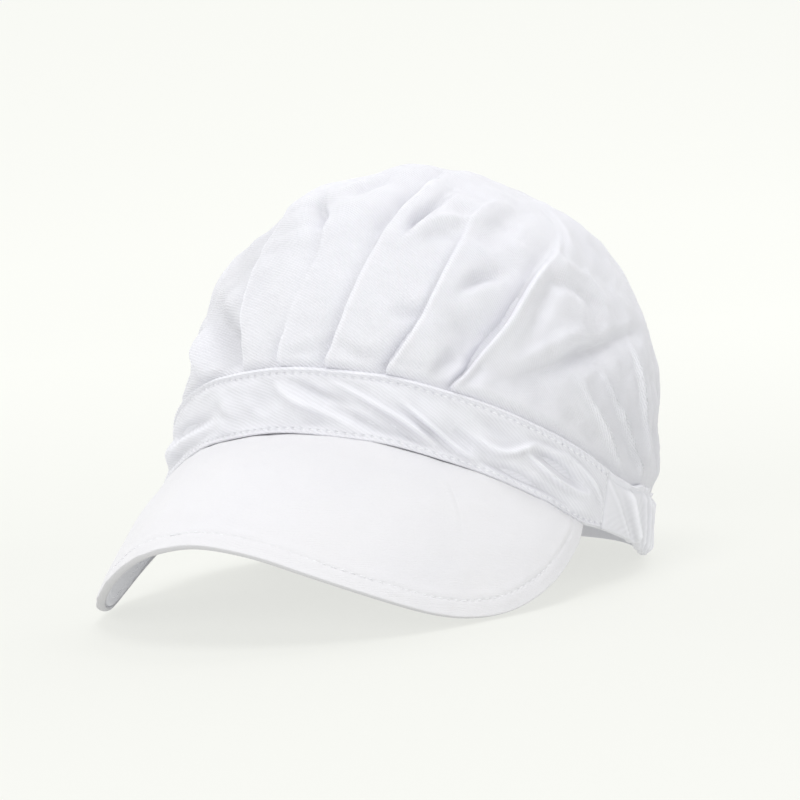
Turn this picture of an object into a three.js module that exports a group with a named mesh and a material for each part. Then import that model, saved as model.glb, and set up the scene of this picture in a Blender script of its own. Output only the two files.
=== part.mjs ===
import * as THREE from "three";

// Visor chef cap in millimetres, Z up, resting on its back hem and the low tips of its visor.
// The visor points along -Y and the wearer's left side is +X.
// A heading is an angle round the head: 0 at the front, 90 at the wearer's left.

const seamGap = 0.3;
const ringShift = 25;

const thickness = { crown: 1.3, band: 2.2, casing: 2.2, visorTop: 1.5, visorUnder: 1.3 };

const ring = { halfWidth: 82.2, halfLength: 92.0 };
const bandTopRing = { halfWidth: 84.0, frontLength: 91.0, rearLength: 83.5, setBack: 5.5 };
const farSideFlare = { out: 2.2, heading: -62, spread: 20 };

// Lower and upper edge of the band and casing, the same on both sides of the head.
const bandRows = [
  { heading: 0, bottom: 60.9, top: 82.0 },
  { heading: 20, bottom: 57.3, top: 78.7 },
  { heading: 40, bottom: 47.1, top: 69.1 },
  { heading: 60, bottom: 32.0, top: 54.2 },
  { heading: 71, bottom: 21.9, top: 44.2 },
  { heading: 77, bottom: 18.8, top: 38.0 },
  { heading: 85, bottom: 14.2, top: 31.6 },
  { heading: 92, bottom: 10.0, top: 29.0 },
  { heading: 97, bottom: 6.8, top: 26.8 },
  { heading: 106, bottom: 3.0, top: 24.6 },
  { heading: 118, bottom: 0.4, top: 23.0 },
  { heading: 130, bottom: 0.0, top: 22.0 },
  { heading: 180, bottom: 0.0, top: 22.0 },
];
const sideSeam = { heading: 77, gapDegrees: 0.25 };

const dome = {
  apexHeight: 142.4,
  apexBack: 9.6,
  roundness: 0.94,
  frontTuck: 0.108,
  backSwell: 0.225,
  emergeBy: 0.06,
};
const tuckDepth = 6;
const crownUps = [0.03, 0.07, 0.12, 0.18, 0.25, 0.33, 0.42, 0.51, 0.61, 0.71, 0.81, 0.91];
const crownHeadings = 108;

// Knife pleats: the cloth of the +heading side lies on top and ends in a folded edge.
// Each path starts at the band and runs back over the crown through the middle and end point.
const pleats = [
  { start: -43, middle: -56, middleUp: 0.25, end: -78, endUp: 0.55, height: 1.6, depth: 1.6, width: 9 },
  { start: -29, middle: -44, middleUp: 0.27, end: -66, endUp: 0.62, height: 2.0, depth: 1.8, width: 9 },
  { start: -13, middle: -26, middleUp: 0.37, end: -58, endUp: 0.74, height: 2.2, depth: 2.0, width: 9 },
  { start: -2, middle: -2, middleUp: 0.14, end: 0, endUp: 0.34, height: 1.4, depth: 1.2, width: 6 },
  { start: 9, middle: 18, middleUp: 0.39, end: 50, endUp: 0.88, height: 3.4, depth: 2.8, width: 12 },
  { start: 23, middle: 39, middleUp: 0.38, end: 78, endUp: 0.74, height: 3.6, depth: 3.0, width: 12 },
  { start: 37, middle: 62, middleUp: 0.34, end: 103, endUp: 0.66, height: 3.6, depth: 3.0, width: 12 },
];

// Free folds: ridges with a positive height and creases with a negative one.
const folds = [
  { start: 52, startUp: 0.06, middle: 70, middleUp: 0.2, end: 112, endUp: 0.34, height: -2.2, width: 7 },
  { start: 50, startUp: 0.14, middle: 68, middleUp: 0.27, end: 106, endUp: 0.42, height: 1.6, width: 8 },
  { start: 24, startUp: 0.42, middle: 35, middleUp: 0.56, end: 52, endUp: 0.7, height: -2.6, width: 6 },
  { start: -64, startUp: 0.66, middle: -46, middleUp: 0.76, end: 0, endUp: 0.84, height: 3.6, width: 16 },
  { start: -26, startUp: 0.04, middle: -22, middleUp: 0.11, end: -20, endUp: 0.2, height: -1.4, width: 7 },
  { start: 56, startUp: 0.52, middle: 76, middleUp: 0.6, end: 104, endUp: 0.68, height: 2.0, width: 9 },
];

const gathers = { count: 15, from: 84, ramp: 14, height: 1.7, casingHeight: 0.55, fadeUp: 0.5 };

// Soft diagonal wrinkles of the front band, by heading and by share of the band's height.
const bandWrinkles = [
  { from: 0, fromUp: 0.8, to: 15, toUp: 0.3, height: 0.9, width: 3.2 },
  { from: 15, fromUp: 0.75, to: 35, toUp: 0.2, height: 1.0, width: 3.4 },
  { from: 31, fromUp: 0.7, to: 44, toUp: 0.2, height: 0.9, width: 3.2 },
  { from: 55, fromUp: 0.75, to: 69, toUp: 0.45, height: 1.1, width: 3.6 },
  { from: -44, fromUp: 0.75, to: -18, toUp: 0.35, height: 0.9, width: 3.4 },
];

// Visor outline seen from its own centre: a bearing of 0 points to the front.
const visor = {
  centreY: -50.2,
  endHeading: 71.3,
  endBearing: 105.2,
  endShare: 0.975,
  radius: [83.0, 8.7, 3.4, 2.9],
  height: [21.1, -11.0, 10.3, 8.25, 2.0],
  crownOfCurve: 4.0,
  farTipFlare: 2.6,
  farTipBearing: -72,
  farTipSpread: 22,
  alongRows: 40,
};
const visorShares = [0, 0.17, 0.34, 0.51, 0.68, 0.84, 0.94, 1];

const cloth = {
  crown: { colour: 0xf1f2f6, roughness: 0.92 },
  band: { colour: 0xf3f4f8, roughness: 0.9 },
  casing: { colour: 0xefeff4, roughness: 0.92 },
  visorTop: { colour: 0xf5f5f8, roughness: 0.88 },
  visorUnder: { colour: 0xe9e9ee, roughness: 0.9 },
};

const toRadians = Math.PI / 180;

function mix(a, b, share) {
  return a + (b - a) * share;
}

function smooth(share) {
  const t = Math.min(1, Math.max(0, share));
  return t * t * (3 - 2 * t);
}

function evenSteps(from, to, count) {
  return Array.from({ length: count + 1 }, (_, i) => mix(from, to, i / count));
}

function turnBetween(a, b) {
  return ((((a - b + 180) % 360) + 360) % 360) - 180;
}

// Slope of a table column at one row, held down so that the curve never overshoots.
function columnSlope(rows, column, i) {
  if (i === 0 || i === rows.length - 1) {
    return 0;
  }
  const before = (rows[i][column] - rows[i - 1][column]) / (rows[i].heading - rows[i - 1].heading);
  const after = (rows[i + 1][column] - rows[i][column]) / (rows[i + 1].heading - rows[i].heading);
  if (before * after <= 0) {
    return 0;
  }
  return (2 * before * after) / (before + after);
}

function readTable(rows, column, heading) {
  const away = Math.abs(turnBetween(heading, 0));
  let i = 0;
  while (i < rows.length - 2 && rows[i + 1].heading < away) {
    i += 1;
  }
  const step = rows[i + 1].heading - rows[i].heading;
  const t = (away - rows[i].heading) / step;
  const rise = t * t * (3 - 2 * t);
  return (
    mix(rows[i][column], rows[i + 1][column], rise) +
    (t ** 3 - 2 * t * t + t) * step * columnSlope(rows, column, i) +
    (t ** 3 - t * t) * step * columnSlope(rows, column, i + 1)
  );
}

function topLength(heading) {
  return Math.cos(heading * toRadians) > 0 ? bandTopRing.frontLength : bandTopRing.rearLength;
}

// A point of the band's outer face: up is 0 at its lower edge and 1 at its upper edge.
function bandPoint(heading, up, out) {
  const turn = heading * toRadians;
  const flareAway = turnBetween(heading, farSideFlare.heading) / farSideFlare.spread;
  const flare = farSideFlare.out * Math.exp(-flareAway * flareAway) * (1 - up);
  const halfWidth = mix(ring.halfWidth, bandTopRing.halfWidth, up) + out + flare;
  const halfLength = mix(ring.halfLength, topLength(heading), up) + out + flare;
  return new THREE.Vector3(
    halfWidth * Math.sin(turn),
    bandTopRing.setBack * up - halfLength * Math.cos(turn),
    mix(readTable(bandRows, "bottom", heading), readTable(bandRows, "top", heading), up),
  );
}

// A point of the smooth crown: up is 0 at the band and 1 at the apex.
function domePoint(heading, up, out) {
  const turn = heading * toRadians;
  const climb = (up * Math.PI) / 2;
  const reach = Math.max(0, Math.cos(climb)) ** dome.roundness;
  const rise = Math.sin(climb) ** dome.roundness;
  const front = ((1 + Math.cos(turn)) / 2) ** 1.5;
  const back = ((1 - Math.cos(turn)) / 2) ** 1.5;
  const swell = 1 + Math.sin(2 * climb) * (dome.backSwell * back - dome.frontTuck * front);
  const base = readTable(bandRows, "top", heading);
  return new THREE.Vector3(
    (bandTopRing.halfWidth + out) * Math.sin(turn) * reach * swell,
    mix(bandTopRing.setBack, dome.apexBack, rise) -
      (topLength(heading) + out) * Math.cos(turn) * reach * swell,
    base + (dome.apexHeight + out - base) * rise,
  );
}

// A line over the crown through three points of heading and height, as short straight steps.
function crownPath(start, startUp, middle, middleUp, end, endUp) {
  const steps = 14;
  return evenSteps(0, 1, steps).map((share) => {
    const near = (1 - share) * (1 - 2 * share);
    const centre = 4 * share * (1 - share);
    const far = share * (2 * share - 1);
    const heading = near * start + centre * middle + far * end;
    const up = near * startUp + centre * middleUp + far * endUp;
    return domePoint(heading, Math.max(0, up), 0);
  });
}

// Distance from a line, positive toward growing headings, and how far along it the nearest place is.
function besideLine(point, line) {
  const best = { gap: Infinity, side: 0, along: 0 };
  for (let i = 0; i < line.length - 1; i += 1) {
    const step = line[i + 1].clone().sub(line[i]);
    const toPoint = point.clone().sub(line[i]);
    const share = Math.min(1, Math.max(0, toPoint.dot(step) / step.lengthSq()));
    const across = toPoint.clone().addScaledVector(step, -share);
    if (across.length() < best.gap) {
      best.gap = across.length();
      best.side = Math.sign(step.clone().cross(across).dot(point)) * -1;
      best.along = (i + share) / (line.length - 1);
    }
  }
  return { across: best.gap * best.side, along: best.along };
}

const pleatLines = pleats.map((pleat) => ({
  ...pleat,
  line: crownPath(pleat.start, 0, pleat.middle, pleat.middleUp, pleat.end, pleat.endUp),
}));
const foldLines = folds.map((fold) => ({
  ...fold,
  line: crownPath(fold.start, fold.startUp, fold.middle, fold.middleUp, fold.end, fold.endUp),
}));

function pleatLift(point) {
  const edgeSoftness = 2;
  let lift = 0;
  for (const pleat of pleatLines) {
    const { across, along } = besideLine(point, pleat.line);
    const onTop = 0.5 + 0.5 * Math.tanh(across / edgeSoftness);
    const upper = pleat.height * Math.exp(-Math.max(across, 0) / pleat.width);
    const valley = pleat.depth * Math.exp(Math.min(across, 0) / (0.7 * pleat.width));
    lift += (onTop * upper - (1 - onTop) * valley) * (1 - along * along);
  }
  return lift;
}

function foldLift(point) {
  let lift = 0;
  for (const fold of foldLines) {
    const { across, along } = besideLine(point, fold.line);
    const fade = Math.sin(Math.PI * Math.min(0.97, Math.max(0.03, along))) ** 0.6;
    lift += fold.height * fade * Math.exp(-((across / fold.width) ** 2));
  }
  return lift;
}

function gatherWave(heading) {
  const away = Math.abs(turnBetween(heading, 0));
  const strength = smooth((away - gathers.from) / gathers.ramp);
  const waves = (360 - 2 * gathers.from) / gathers.count;
  return strength * Math.cos(((away - 180) / waves) * 2 * Math.PI);
}

function crownPoint(heading, up, inward) {
  const emerging = smooth(up / dome.emergeBy);
  const smoothPoint = domePoint(heading, up, 0);
  const gatherFade = 1 - smooth(up / gathers.fadeUp);
  const relief =
    pleatLift(smoothPoint) + foldLift(smoothPoint) + gathers.height * gatherWave(heading) * gatherFade;
  const behindBand = thickness.band + seamGap;
  return domePoint(heading, up, relief * emerging - behindBand * (1 - emerging) - inward);
}

function tuckedPoint(heading, below, inward) {
  const height = readTable(bandRows, "top", heading) - readTable(bandRows, "bottom", heading);
  return bandPoint(heading, 1 - below / height, -thickness.band - seamGap - inward);
}

// Joins an outer and an inner grid of points into one closed body.
// rows run round or along the piece; with a pole the last column of every row is the same point.
function closedBody(outer, inner, { loops = false, pole = false } = {}) {
  const rows = outer.length;
  const columns = outer[0].length;
  const corners = [];
  const faces = [];
  const number = [outer, inner].map((grid) => {
    const poleNumber = pole ? corners.push(grid[0][columns - 1]) - 1 : -1;
    return grid.map((row) =>
      row.map((point, j) => (pole && j === columns - 1 ? poleNumber : corners.push(point) - 1)),
    );
  });
  const quad = (a, b, c, d) => {
    faces.push([a, b, c], [a, c, d]);
  };
  const lastRow = loops ? rows : rows - 1;
  for (let i = 0; i < lastRow; i += 1) {
    const next = (i + 1) % rows;
    for (let j = 0; j < columns - 1; j += 1) {
      quad(number[0][i][j], number[0][next][j], number[0][next][j + 1], number[0][i][j + 1]);
      quad(number[1][i][j + 1], number[1][next][j + 1], number[1][next][j], number[1][i][j]);
    }
    quad(number[1][i][0], number[1][next][0], number[0][next][0], number[0][i][0]);
    if (!pole) {
      const far = columns - 1;
      quad(number[0][i][far], number[0][next][far], number[1][next][far], number[1][i][far]);
    }
  }
  if (!loops) {
    for (let j = 0; j < columns - 1; j += 1) {
      const end = rows - 1;
      quad(number[0][0][j], number[0][0][j + 1], number[1][0][j + 1], number[1][0][j]);
      quad(number[0][end][j + 1], number[0][end][j], number[1][end][j], number[1][end][j + 1]);
    }
  }
  return facesToGeometry(corners, faces);
}

function facesToGeometry(corners, faces) {
  const whole = faces.filter(([a, b, c]) => a !== b && b !== c && c !== a);
  let volume = 0;
  for (const [a, b, c] of whole) {
    volume += corners[a].dot(corners[b].clone().cross(corners[c]));
  }
  const outward = volume > 0 ? whole : whole.map(([a, b, c]) => [a, c, b]);
  const geometry = new THREE.BufferGeometry();
  const numbers = corners.flatMap((point) => [point.x, point.y + ringShift, point.z]);
  geometry.setAttribute("position", new THREE.Float32BufferAttribute(numbers, 3));
  geometry.setIndex(outward.flat());
  geometry.computeVertexNormals();
  return geometry;
}

function namedMesh(name, geometry, look) {
  const material = new THREE.MeshStandardMaterial({
    color: look.colour,
    roughness: look.roughness,
    metalness: 0,
  });
  const mesh = new THREE.Mesh(geometry, material);
  mesh.name = name;
  return mesh;
}

function crownGeometry() {
  const face = (inward) =>
    evenSteps(0, 360, crownHeadings)
      .slice(0, -1)
      .map((heading) => [
        tuckedPoint(heading, tuckDepth, inward),
        tuckedPoint(heading, 0, inward),
        ...crownUps.map((up) => crownPoint(heading, up, inward)),
        crownPoint(0, 1, inward),
      ]);
  return closedBody(face(0), face(thickness.crown), { loops: true, pole: true });
}

function bandWrinkleLift(heading, up) {
  const height = 21;
  const degreeLength = ring.halfLength * toRadians;
  let lift = 0;
  for (const wrinkle of bandWrinkles) {
    const run = (wrinkle.to - wrinkle.from) * degreeLength;
    const drop = (wrinkle.toUp - wrinkle.fromUp) * height;
    const x = turnBetween(heading, wrinkle.from) * degreeLength;
    const y = (up - wrinkle.fromUp) * height;
    const length = run * run + drop * drop;
    const along = Math.min(1, Math.max(0, (x * run + y * drop) / length));
    const away = Math.hypot(x - along * run, y - along * drop) / wrinkle.width;
    lift += wrinkle.height * Math.exp(-away * away);
  }
  return lift;
}

function frontBandGeometry() {
  const end = sideSeam.heading - sideSeam.gapDegrees;
  const headings = evenSteps(-end, end, 52);
  const ups = [0, 0.2, 0.4, 0.6, 0.8, 1];
  const outer = headings.map((heading) =>
    ups.map((up) => {
      const held = smooth(Math.min(up, 1 - up) / 0.25);
      return bandPoint(heading, up, bandWrinkleLift(heading, up) * held);
    }),
  );
  const inner = headings.map((heading) => ups.map((up) => bandPoint(heading, up, -thickness.band)));
  return closedBody(outer, inner);
}

function casingGeometry() {
  const start = sideSeam.heading + sideSeam.gapDegrees;
  const headings = evenSteps(start, 360 - start, 92);
  const ups = [0, 0.25, 0.5, 0.75, 1];
  const outer = headings.map((heading) =>
    ups.map((up) => {
      const puffed = Math.sin(Math.PI * up);
      return bandPoint(heading, up, (0.8 + gathers.casingHeight * gatherWave(heading)) * puffed);
    }),
  );
  const inner = headings.map((heading) => ups.map((up) => bandPoint(heading, up, -thickness.casing)));
  return closedBody(outer, inner);
}

function waveSum(terms, turn) {
  return terms.reduce((sum, term, k) => sum + term * Math.cos(k * turn), 0);
}

function outlinePoint(bearing) {
  const turn = bearing * toRadians;
  const flareAway = (bearing - visor.farTipBearing) / visor.farTipSpread;
  const radius = waveSum(visor.radius, turn) + visor.farTipFlare * Math.exp(-flareAway * flareAway);
  return new THREE.Vector3(
    radius * Math.sin(turn),
    visor.centreY - radius * Math.cos(turn),
    waveSum(visor.height, turn),
  );
}

// A point of the visor's upper face: side runs from -1 to 1 and share from the band to the edge.
function visorFace(side, share) {
  const heading = side * visor.endHeading;
  const turn = heading * toRadians;
  const atBand = bandPoint(heading, 0, 0);
  const atEdge = outlinePoint(side * visor.endBearing);
  const length = atBand.distanceTo(atEdge);
  const point = atBand.clone().lerp(atEdge, share);
  const bulge = visor.crownOfCurve * 4 * share * (1 - share) * (length / 60);
  point.x += 0.8 * Math.sin(turn) * bulge;
  point.y -= 0.8 * Math.cos(turn) * bulge;
  point.z += 0.6 * bulge - seamGap;
  return point;
}

function visorNormal(side, share) {
  const step = 0.01;
  const across = visorFace(side + step, share).sub(visorFace(side - step, share));
  const outward = visorFace(side, share + step).sub(visorFace(side, share - step));
  return outward.cross(across).normalize();
}

function visorPoint(side, share, inward) {
  return visorFace(side, share).addScaledVector(visorNormal(side, share), -inward);
}

function visorGeometry(top, bottom) {
  const sides = evenSteps(-visor.endShare, visor.endShare, visor.alongRows);
  const face = (inward) => sides.map((side) => visorShares.map((share) => visorPoint(side, share, inward)));
  return closedBody(face(top), face(bottom));
}

const visorUnderTop = thickness.visorTop + seamGap;

const cap = new THREE.Group();
cap.name = "visor_chef_cap";
cap.add(
  namedMesh("crown", crownGeometry(), cloth.crown),
  namedMesh("front_band", frontBandGeometry(), cloth.band),
  namedMesh("back_casing", casingGeometry(), cloth.casing),
  namedMesh("visor_top", visorGeometry(0, thickness.visorTop), cloth.visorTop),
  namedMesh("visor_under", visorGeometry(visorUnderTop, visorUnderTop + thickness.visorUnder), cloth.visorUnder),
);

export default cap;
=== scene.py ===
import math
import bpy
import numpy as np
from mathutils import Matrix, Vector


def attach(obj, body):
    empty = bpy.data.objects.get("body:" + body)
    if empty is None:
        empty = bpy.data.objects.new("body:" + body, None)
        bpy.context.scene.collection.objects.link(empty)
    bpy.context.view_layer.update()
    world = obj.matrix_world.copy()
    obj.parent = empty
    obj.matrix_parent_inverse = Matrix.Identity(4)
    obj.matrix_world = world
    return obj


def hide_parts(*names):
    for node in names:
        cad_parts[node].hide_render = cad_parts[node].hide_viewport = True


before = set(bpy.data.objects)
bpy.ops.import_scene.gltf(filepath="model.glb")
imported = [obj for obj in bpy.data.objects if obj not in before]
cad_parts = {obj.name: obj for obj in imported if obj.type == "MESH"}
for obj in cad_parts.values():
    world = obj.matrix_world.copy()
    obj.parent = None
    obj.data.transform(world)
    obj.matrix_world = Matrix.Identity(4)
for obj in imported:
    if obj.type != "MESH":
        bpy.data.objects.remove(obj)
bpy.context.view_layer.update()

mm = 0.001
rng = np.random.default_rng(7)  # only the stitches draw from it, one row after the other

# The worn cap's form, in mm round the centre of the head ring.
# A heading is an angle round the head in degrees: 0 at the front, 90 at the wearer's left.
ringShift = 25.0  # the head ring's centre lies this far behind the frame's origin
ringRadius = 85  # about how far a side seam is from that centre, to turn degrees into mm
insideHead = np.array([0, 5, 30])
ring = {"halfWidth": 82.2, "halfLength": 92.0}
bandTop = {"halfWidth": 84.0, "frontLength": 91.0, "rearLength": 83.5, "setBack": 5.5}
farSideFlare = {"out": 7.0, "heading": -66, "spread": 20}
rearTuck = {"inward": 2.6, "heading": 119, "spread": 17, "fades": 0.26}
sideSeam = 77.0
bandRows = np.array([
    # heading, lower edge, upper edge
    (0, 60.9, 82.0), (20, 57.3, 78.7), (40, 47.1, 69.1), (60, 32.0, 54.2), (71, 21.9, 44.2),
    (77, 18.8, 38.0), (85, 14.2, 31.6), (92, 10.0, 29.0), (97, 6.8, 26.8), (106, 3.0, 24.6),
    (118, 0.4, 23.0), (130, 0.0, 22.0), (180, 0.0, 22.0),
])
bandHeight = 21.1  # at the front
casingHeight = 22.0  # at the back
dome = {
    "apexHeight": 142.4, "apexBack": 9.6, "roundness": 0.94, "frontTuck": 0.108, "backSwell": 0.225,
    "turnPower": 1.5,
}


def smooth(t):
    t = np.clip(t, 0, 1)
    return t * t * (3 - 2 * t)


def bell(distance, width):
    return np.exp(-((distance / width) ** 2))


def turnBetween(a, b):
    return (a - b + 180) % 360 - 180


def curveThrough(xs, ys, at):
    # a smooth curve through a table's rows that never overshoots them
    xs, ys = np.asarray(xs, float), np.asarray(ys, float)
    at = np.clip(at, xs[0], xs[-1])
    slopes = np.diff(ys) / np.diff(xs)
    tangents = np.zeros(len(xs))
    for i in range(1, len(xs) - 1):
        if slopes[i - 1] * slopes[i] > 0:
            tangents[i] = 2 * slopes[i - 1] * slopes[i] / (slopes[i - 1] + slopes[i])
    i = np.clip(np.searchsorted(xs, at, side="right") - 1, 0, len(xs) - 2)
    step = xs[i + 1] - xs[i]
    t = (at - xs[i]) / step
    return (
        (2 * t**3 - 3 * t**2 + 1) * ys[i] + (t**3 - 2 * t**2 + t) * step * tangents[i]
        + (3 * t**2 - 2 * t**3) * ys[i + 1] + (t**3 - t**2) * step * tangents[i + 1]
    )


def lowerEdge(heading):
    return curveThrough(bandRows[:, 0], bandRows[:, 1], abs(turnBetween(heading, 0)))


def upperEdge(heading):
    return curveThrough(bandRows[:, 0], bandRows[:, 2], abs(turnBetween(heading, 0)))


def topLength(turn):
    return np.where(np.cos(turn) > 0, bandTop["frontLength"], bandTop["rearLength"])


def tuckedIn(heading):
    away = np.abs(turnBetween(heading, 0)) - rearTuck["heading"]
    return rearTuck["inward"] * bell(away, rearTuck["spread"])


def bandPoint(heading, up, out):
    # a place on the band's outer face: share of its height and mm outward
    turn = np.radians(heading)
    away = turnBetween(heading, farSideFlare["heading"])
    flare = farSideFlare["out"] * bell(away, farSideFlare["spread"]) * (1 - up) - tuckedIn(heading)
    halfWidth = ring["halfWidth"] + (bandTop["halfWidth"] - ring["halfWidth"]) * up + out + flare
    halfLength = ring["halfLength"] + (topLength(turn) - ring["halfLength"]) * up + out + flare
    low = lowerEdge(heading)
    return np.stack([
        halfWidth * np.sin(turn),
        bandTop["setBack"] * up - halfLength * np.cos(turn),
        low + (upperEdge(heading) - low) * up,
    ], -1)


def domePoint(heading, up, out):
    # a place on the crown's plain dome: share of the climb from the band to the apex and mm outward
    turn, climb = np.radians(heading), np.clip(up, 0, 1) * np.pi / 2
    reach = np.maximum(np.cos(climb), 1e-9) ** dome["roundness"]
    rise = np.maximum(np.sin(climb), 1e-9) ** dome["roundness"]
    front = ((1 + np.cos(turn)) / 2) ** dome["turnPower"]
    back = ((1 - np.cos(turn)) / 2) ** dome["turnPower"]
    swell = 1 + np.sin(2 * climb) * (dome["backSwell"] * back - dome["frontTuck"] * front)
    base = upperEdge(heading)
    out = out - tuckedIn(heading) * (1 - smooth(up / rearTuck["fades"]))
    return np.stack([
        (bandTop["halfWidth"] + out) * np.sin(turn) * reach * swell,
        bandTop["setBack"] + (dome["apexBack"] - bandTop["setBack"]) * rise
        - (topLength(turn) + out) * np.cos(turn) * reach * swell,
        base + (dome["apexHeight"] + out - base) * rise,
    ], -1)


def softNoise(points, size, seed, waves=28):
    # a smooth random field of about unit height whose bumps are about size millimetres wide
    source = np.random.default_rng(seed)
    directions = source.normal(size=(waves, 3))
    directions /= np.linalg.norm(directions, axis=1)[:, None]
    rates = directions * (2 * np.pi / (size * source.uniform(0.75, 1.5, waves)))[:, None]
    phases = source.uniform(0, 2 * np.pi, waves)
    total = np.zeros(points.shape[:-1])
    for rate, phase in zip(rates, phases):
        total += np.sin(points @ rate + phase)
    return total / math.sqrt(waves / 2)


def uneven(points, bumps):
    # several fields of soft noise: size of the bumps in mm, seed and lift in mm
    return sum(lift * softNoise(points, size, seed) for size, seed, lift in bumps)


def gatherTurns(heading, count, start, seed):
    # a wave of uneven pitch round the gathered back
    source = np.random.default_rng(seed)
    span = 360 - 2 * start
    knots = np.linspace(0, span, count * 2 + 1)
    knots[1:-1] += source.uniform(-0.28, 0.28, len(knots) - 2) * span / (count * 2)
    heights = np.where(np.arange(len(knots)) % 2 == 0, -1.0, 1.0) * source.uniform(0.55, 1.15, len(knots))
    at = (heading - start) % 360
    inside = smooth(at / 9) * smooth((span - at) / 9)
    return np.where(at <= span, curveThrough(knots, heights, np.clip(at, 0, span)), 0) * inside


def besideLine(points, line, reach):
    # signed distance from a line in mm, positive to its right, and the share along it; far points are skipped
    flat = points.reshape(-1, 3)
    across = np.full(len(flat), 1e3)
    along = np.zeros(len(flat))
    near = np.flatnonzero(np.all((flat > line.min(0) - reach) & (flat < line.max(0) + reach), axis=1))
    best = np.full(len(near), 1e9)
    side = np.zeros(len(near))
    place = np.zeros(len(near))
    for i in range(len(line) - 1):
        step = line[i + 1] - line[i]
        toPoint = flat[near] - line[i]
        share = np.clip(toPoint @ step / (step @ step), 0, 1)
        offset = toPoint - share[:, None] * step
        gap = np.linalg.norm(offset, axis=1)
        closer = gap < best
        best[closer] = gap[closer]
        outward = flat[near][closer] - insideHead
        side[closer] = np.sign(np.einsum("ij,ij->i", np.cross(offset[closer], step), outward))
        place[closer] = (i + share[closer]) / (len(line) - 1)
    across[near], along[near] = best * np.where(side == 0, 1, side), place
    return across.reshape(points.shape[:-1]), along.reshape(points.shape[:-1])


def lineThrough(stations, pointAt, count):
    # a smooth line over a surface through its stations
    stations = np.array(stations, float)
    spaced = np.linspace(0, 1, len(stations))
    at = np.linspace(0, 1, count)
    degree = min(3, len(stations) - 1)
    heading, up = (np.polyval(np.polyfit(spaced, column, degree), at) for column in stations.T)
    return pointAt(heading, up, 0)


def ridgeAlong(points, stations, pointAt, count, width, lean, taper):
    # a ridge of unit height along a line over the cloth, fading at its ends; lean widens its right side
    across, along = besideLine(points, lineThrough(stations, pointAt, count), 4 * width)
    fade = np.sin(np.pi * np.clip(along, 0.02, 0.98)) ** taper
    return fade * bell(across, np.where(across > 0, width * lean, width))


def arcLengths(points):
    return np.concatenate([[0], np.cumsum(np.linalg.norm(np.diff(points, axis=0), axis=1))])


# Materials
def setInputs(tree, node, inputs):
    # an input that is another node's socket is linked, any other is set
    for name, value in inputs.items():
        if isinstance(value, bpy.types.NodeSocket):
            tree.links.new(value, node.inputs[name])
        else:
            node.inputs[name].default_value = value


def addNode(tree, kind, inputs, **settings):
    node = tree.nodes.new("ShaderNode" + kind)
    for name, value in settings.items():
        setattr(node, name, value)
    setInputs(tree, node, inputs)
    return node


def mathNode(tree, operation, *values, clamp=False):
    return addNode(tree, "Math", dict(enumerate(values)), operation=operation, use_clamp=clamp).outputs[0]


def mixColours(tree, factor, first, second, blend="MIX"):
    inputs = {"Factor": factor, "A": first, "B": second}
    return addNode(tree, "Mix", inputs, data_type="RGBA", blend_type=blend).outputs["Result"]


def newMaterial(name, roughness, specular=0.5):
    material = bpy.data.materials.new(name)
    material.use_nodes = True
    tree = material.node_tree
    tree.nodes.clear()
    shader = addNode(tree, "BsdfPrincipled", {"Roughness": roughness, "Specular IOR Level": specular})
    addNode(tree, "OutputMaterial", {"Surface": shader.outputs[0]})
    return material, tree, shader


def solidColour(colour, share=1.0):
    return (*[part * share for part in colour], 1)


# pitches, wander and depths are in mm on the cloth
clothLook = {
    "colour": (0.782, 0.781, 0.814), "furrow": 0.9, "tint": (0.975, 0.98, 1.0), "cloudScale": 0.03,
    "roughness": 0.9, "specular": 0.1,
    "diagonal": 24, "pitch": 0.8, "yarnPitch": 0.62, "yarnHeight": 0.35,
    "wander": 1.2, "wanderScale": 0.12, "grainScale": 1.3, "grain": 0.8,
    "weaveStrength": 0.5, "weaveDepth": 0.06,
    "rumpleScale": 0.09, "rumpleStrength": 0.25, "rumpleDepth": 0.9,
    # strength of the painted highlight and painted shade on the cloth
    "paintedShading": 0.12,
}
looks = {
    "crown": {
        **clothLook, "colour": (0.796, 0.795, 0.83), "pitch": 0.85, "weaveStrength": 0.95, "diagonal": 28,
        "grain": 2.0, "grainScale": 1.6, "furrow": 0.87,
    },
    "band": {
        **clothLook, "colour": (0.79, 0.789, 0.823), "pitch": 0.95, "weaveStrength": 0.5, "grain": 1.2,
    },
    # the casing carries stronger painted highlight and painted shade
    "casing": {**clothLook, "pitch": 0.6, "weaveStrength": 0.15, "grain": 3.0, "paintedShading": 0.2},
    "visor": {
        **clothLook, "colour": (0.797, 0.791, 0.808), "pitch": 0.6, "wander": 2.5, "weaveStrength": 0.3,
        "rumpleStrength": 0.2, "grain": 3.0,
    },
    "visorUnder": {**clothLook, "pitch": 0.6, "weaveStrength": 0.3, "rumpleStrength": 0.15},
}


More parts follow.
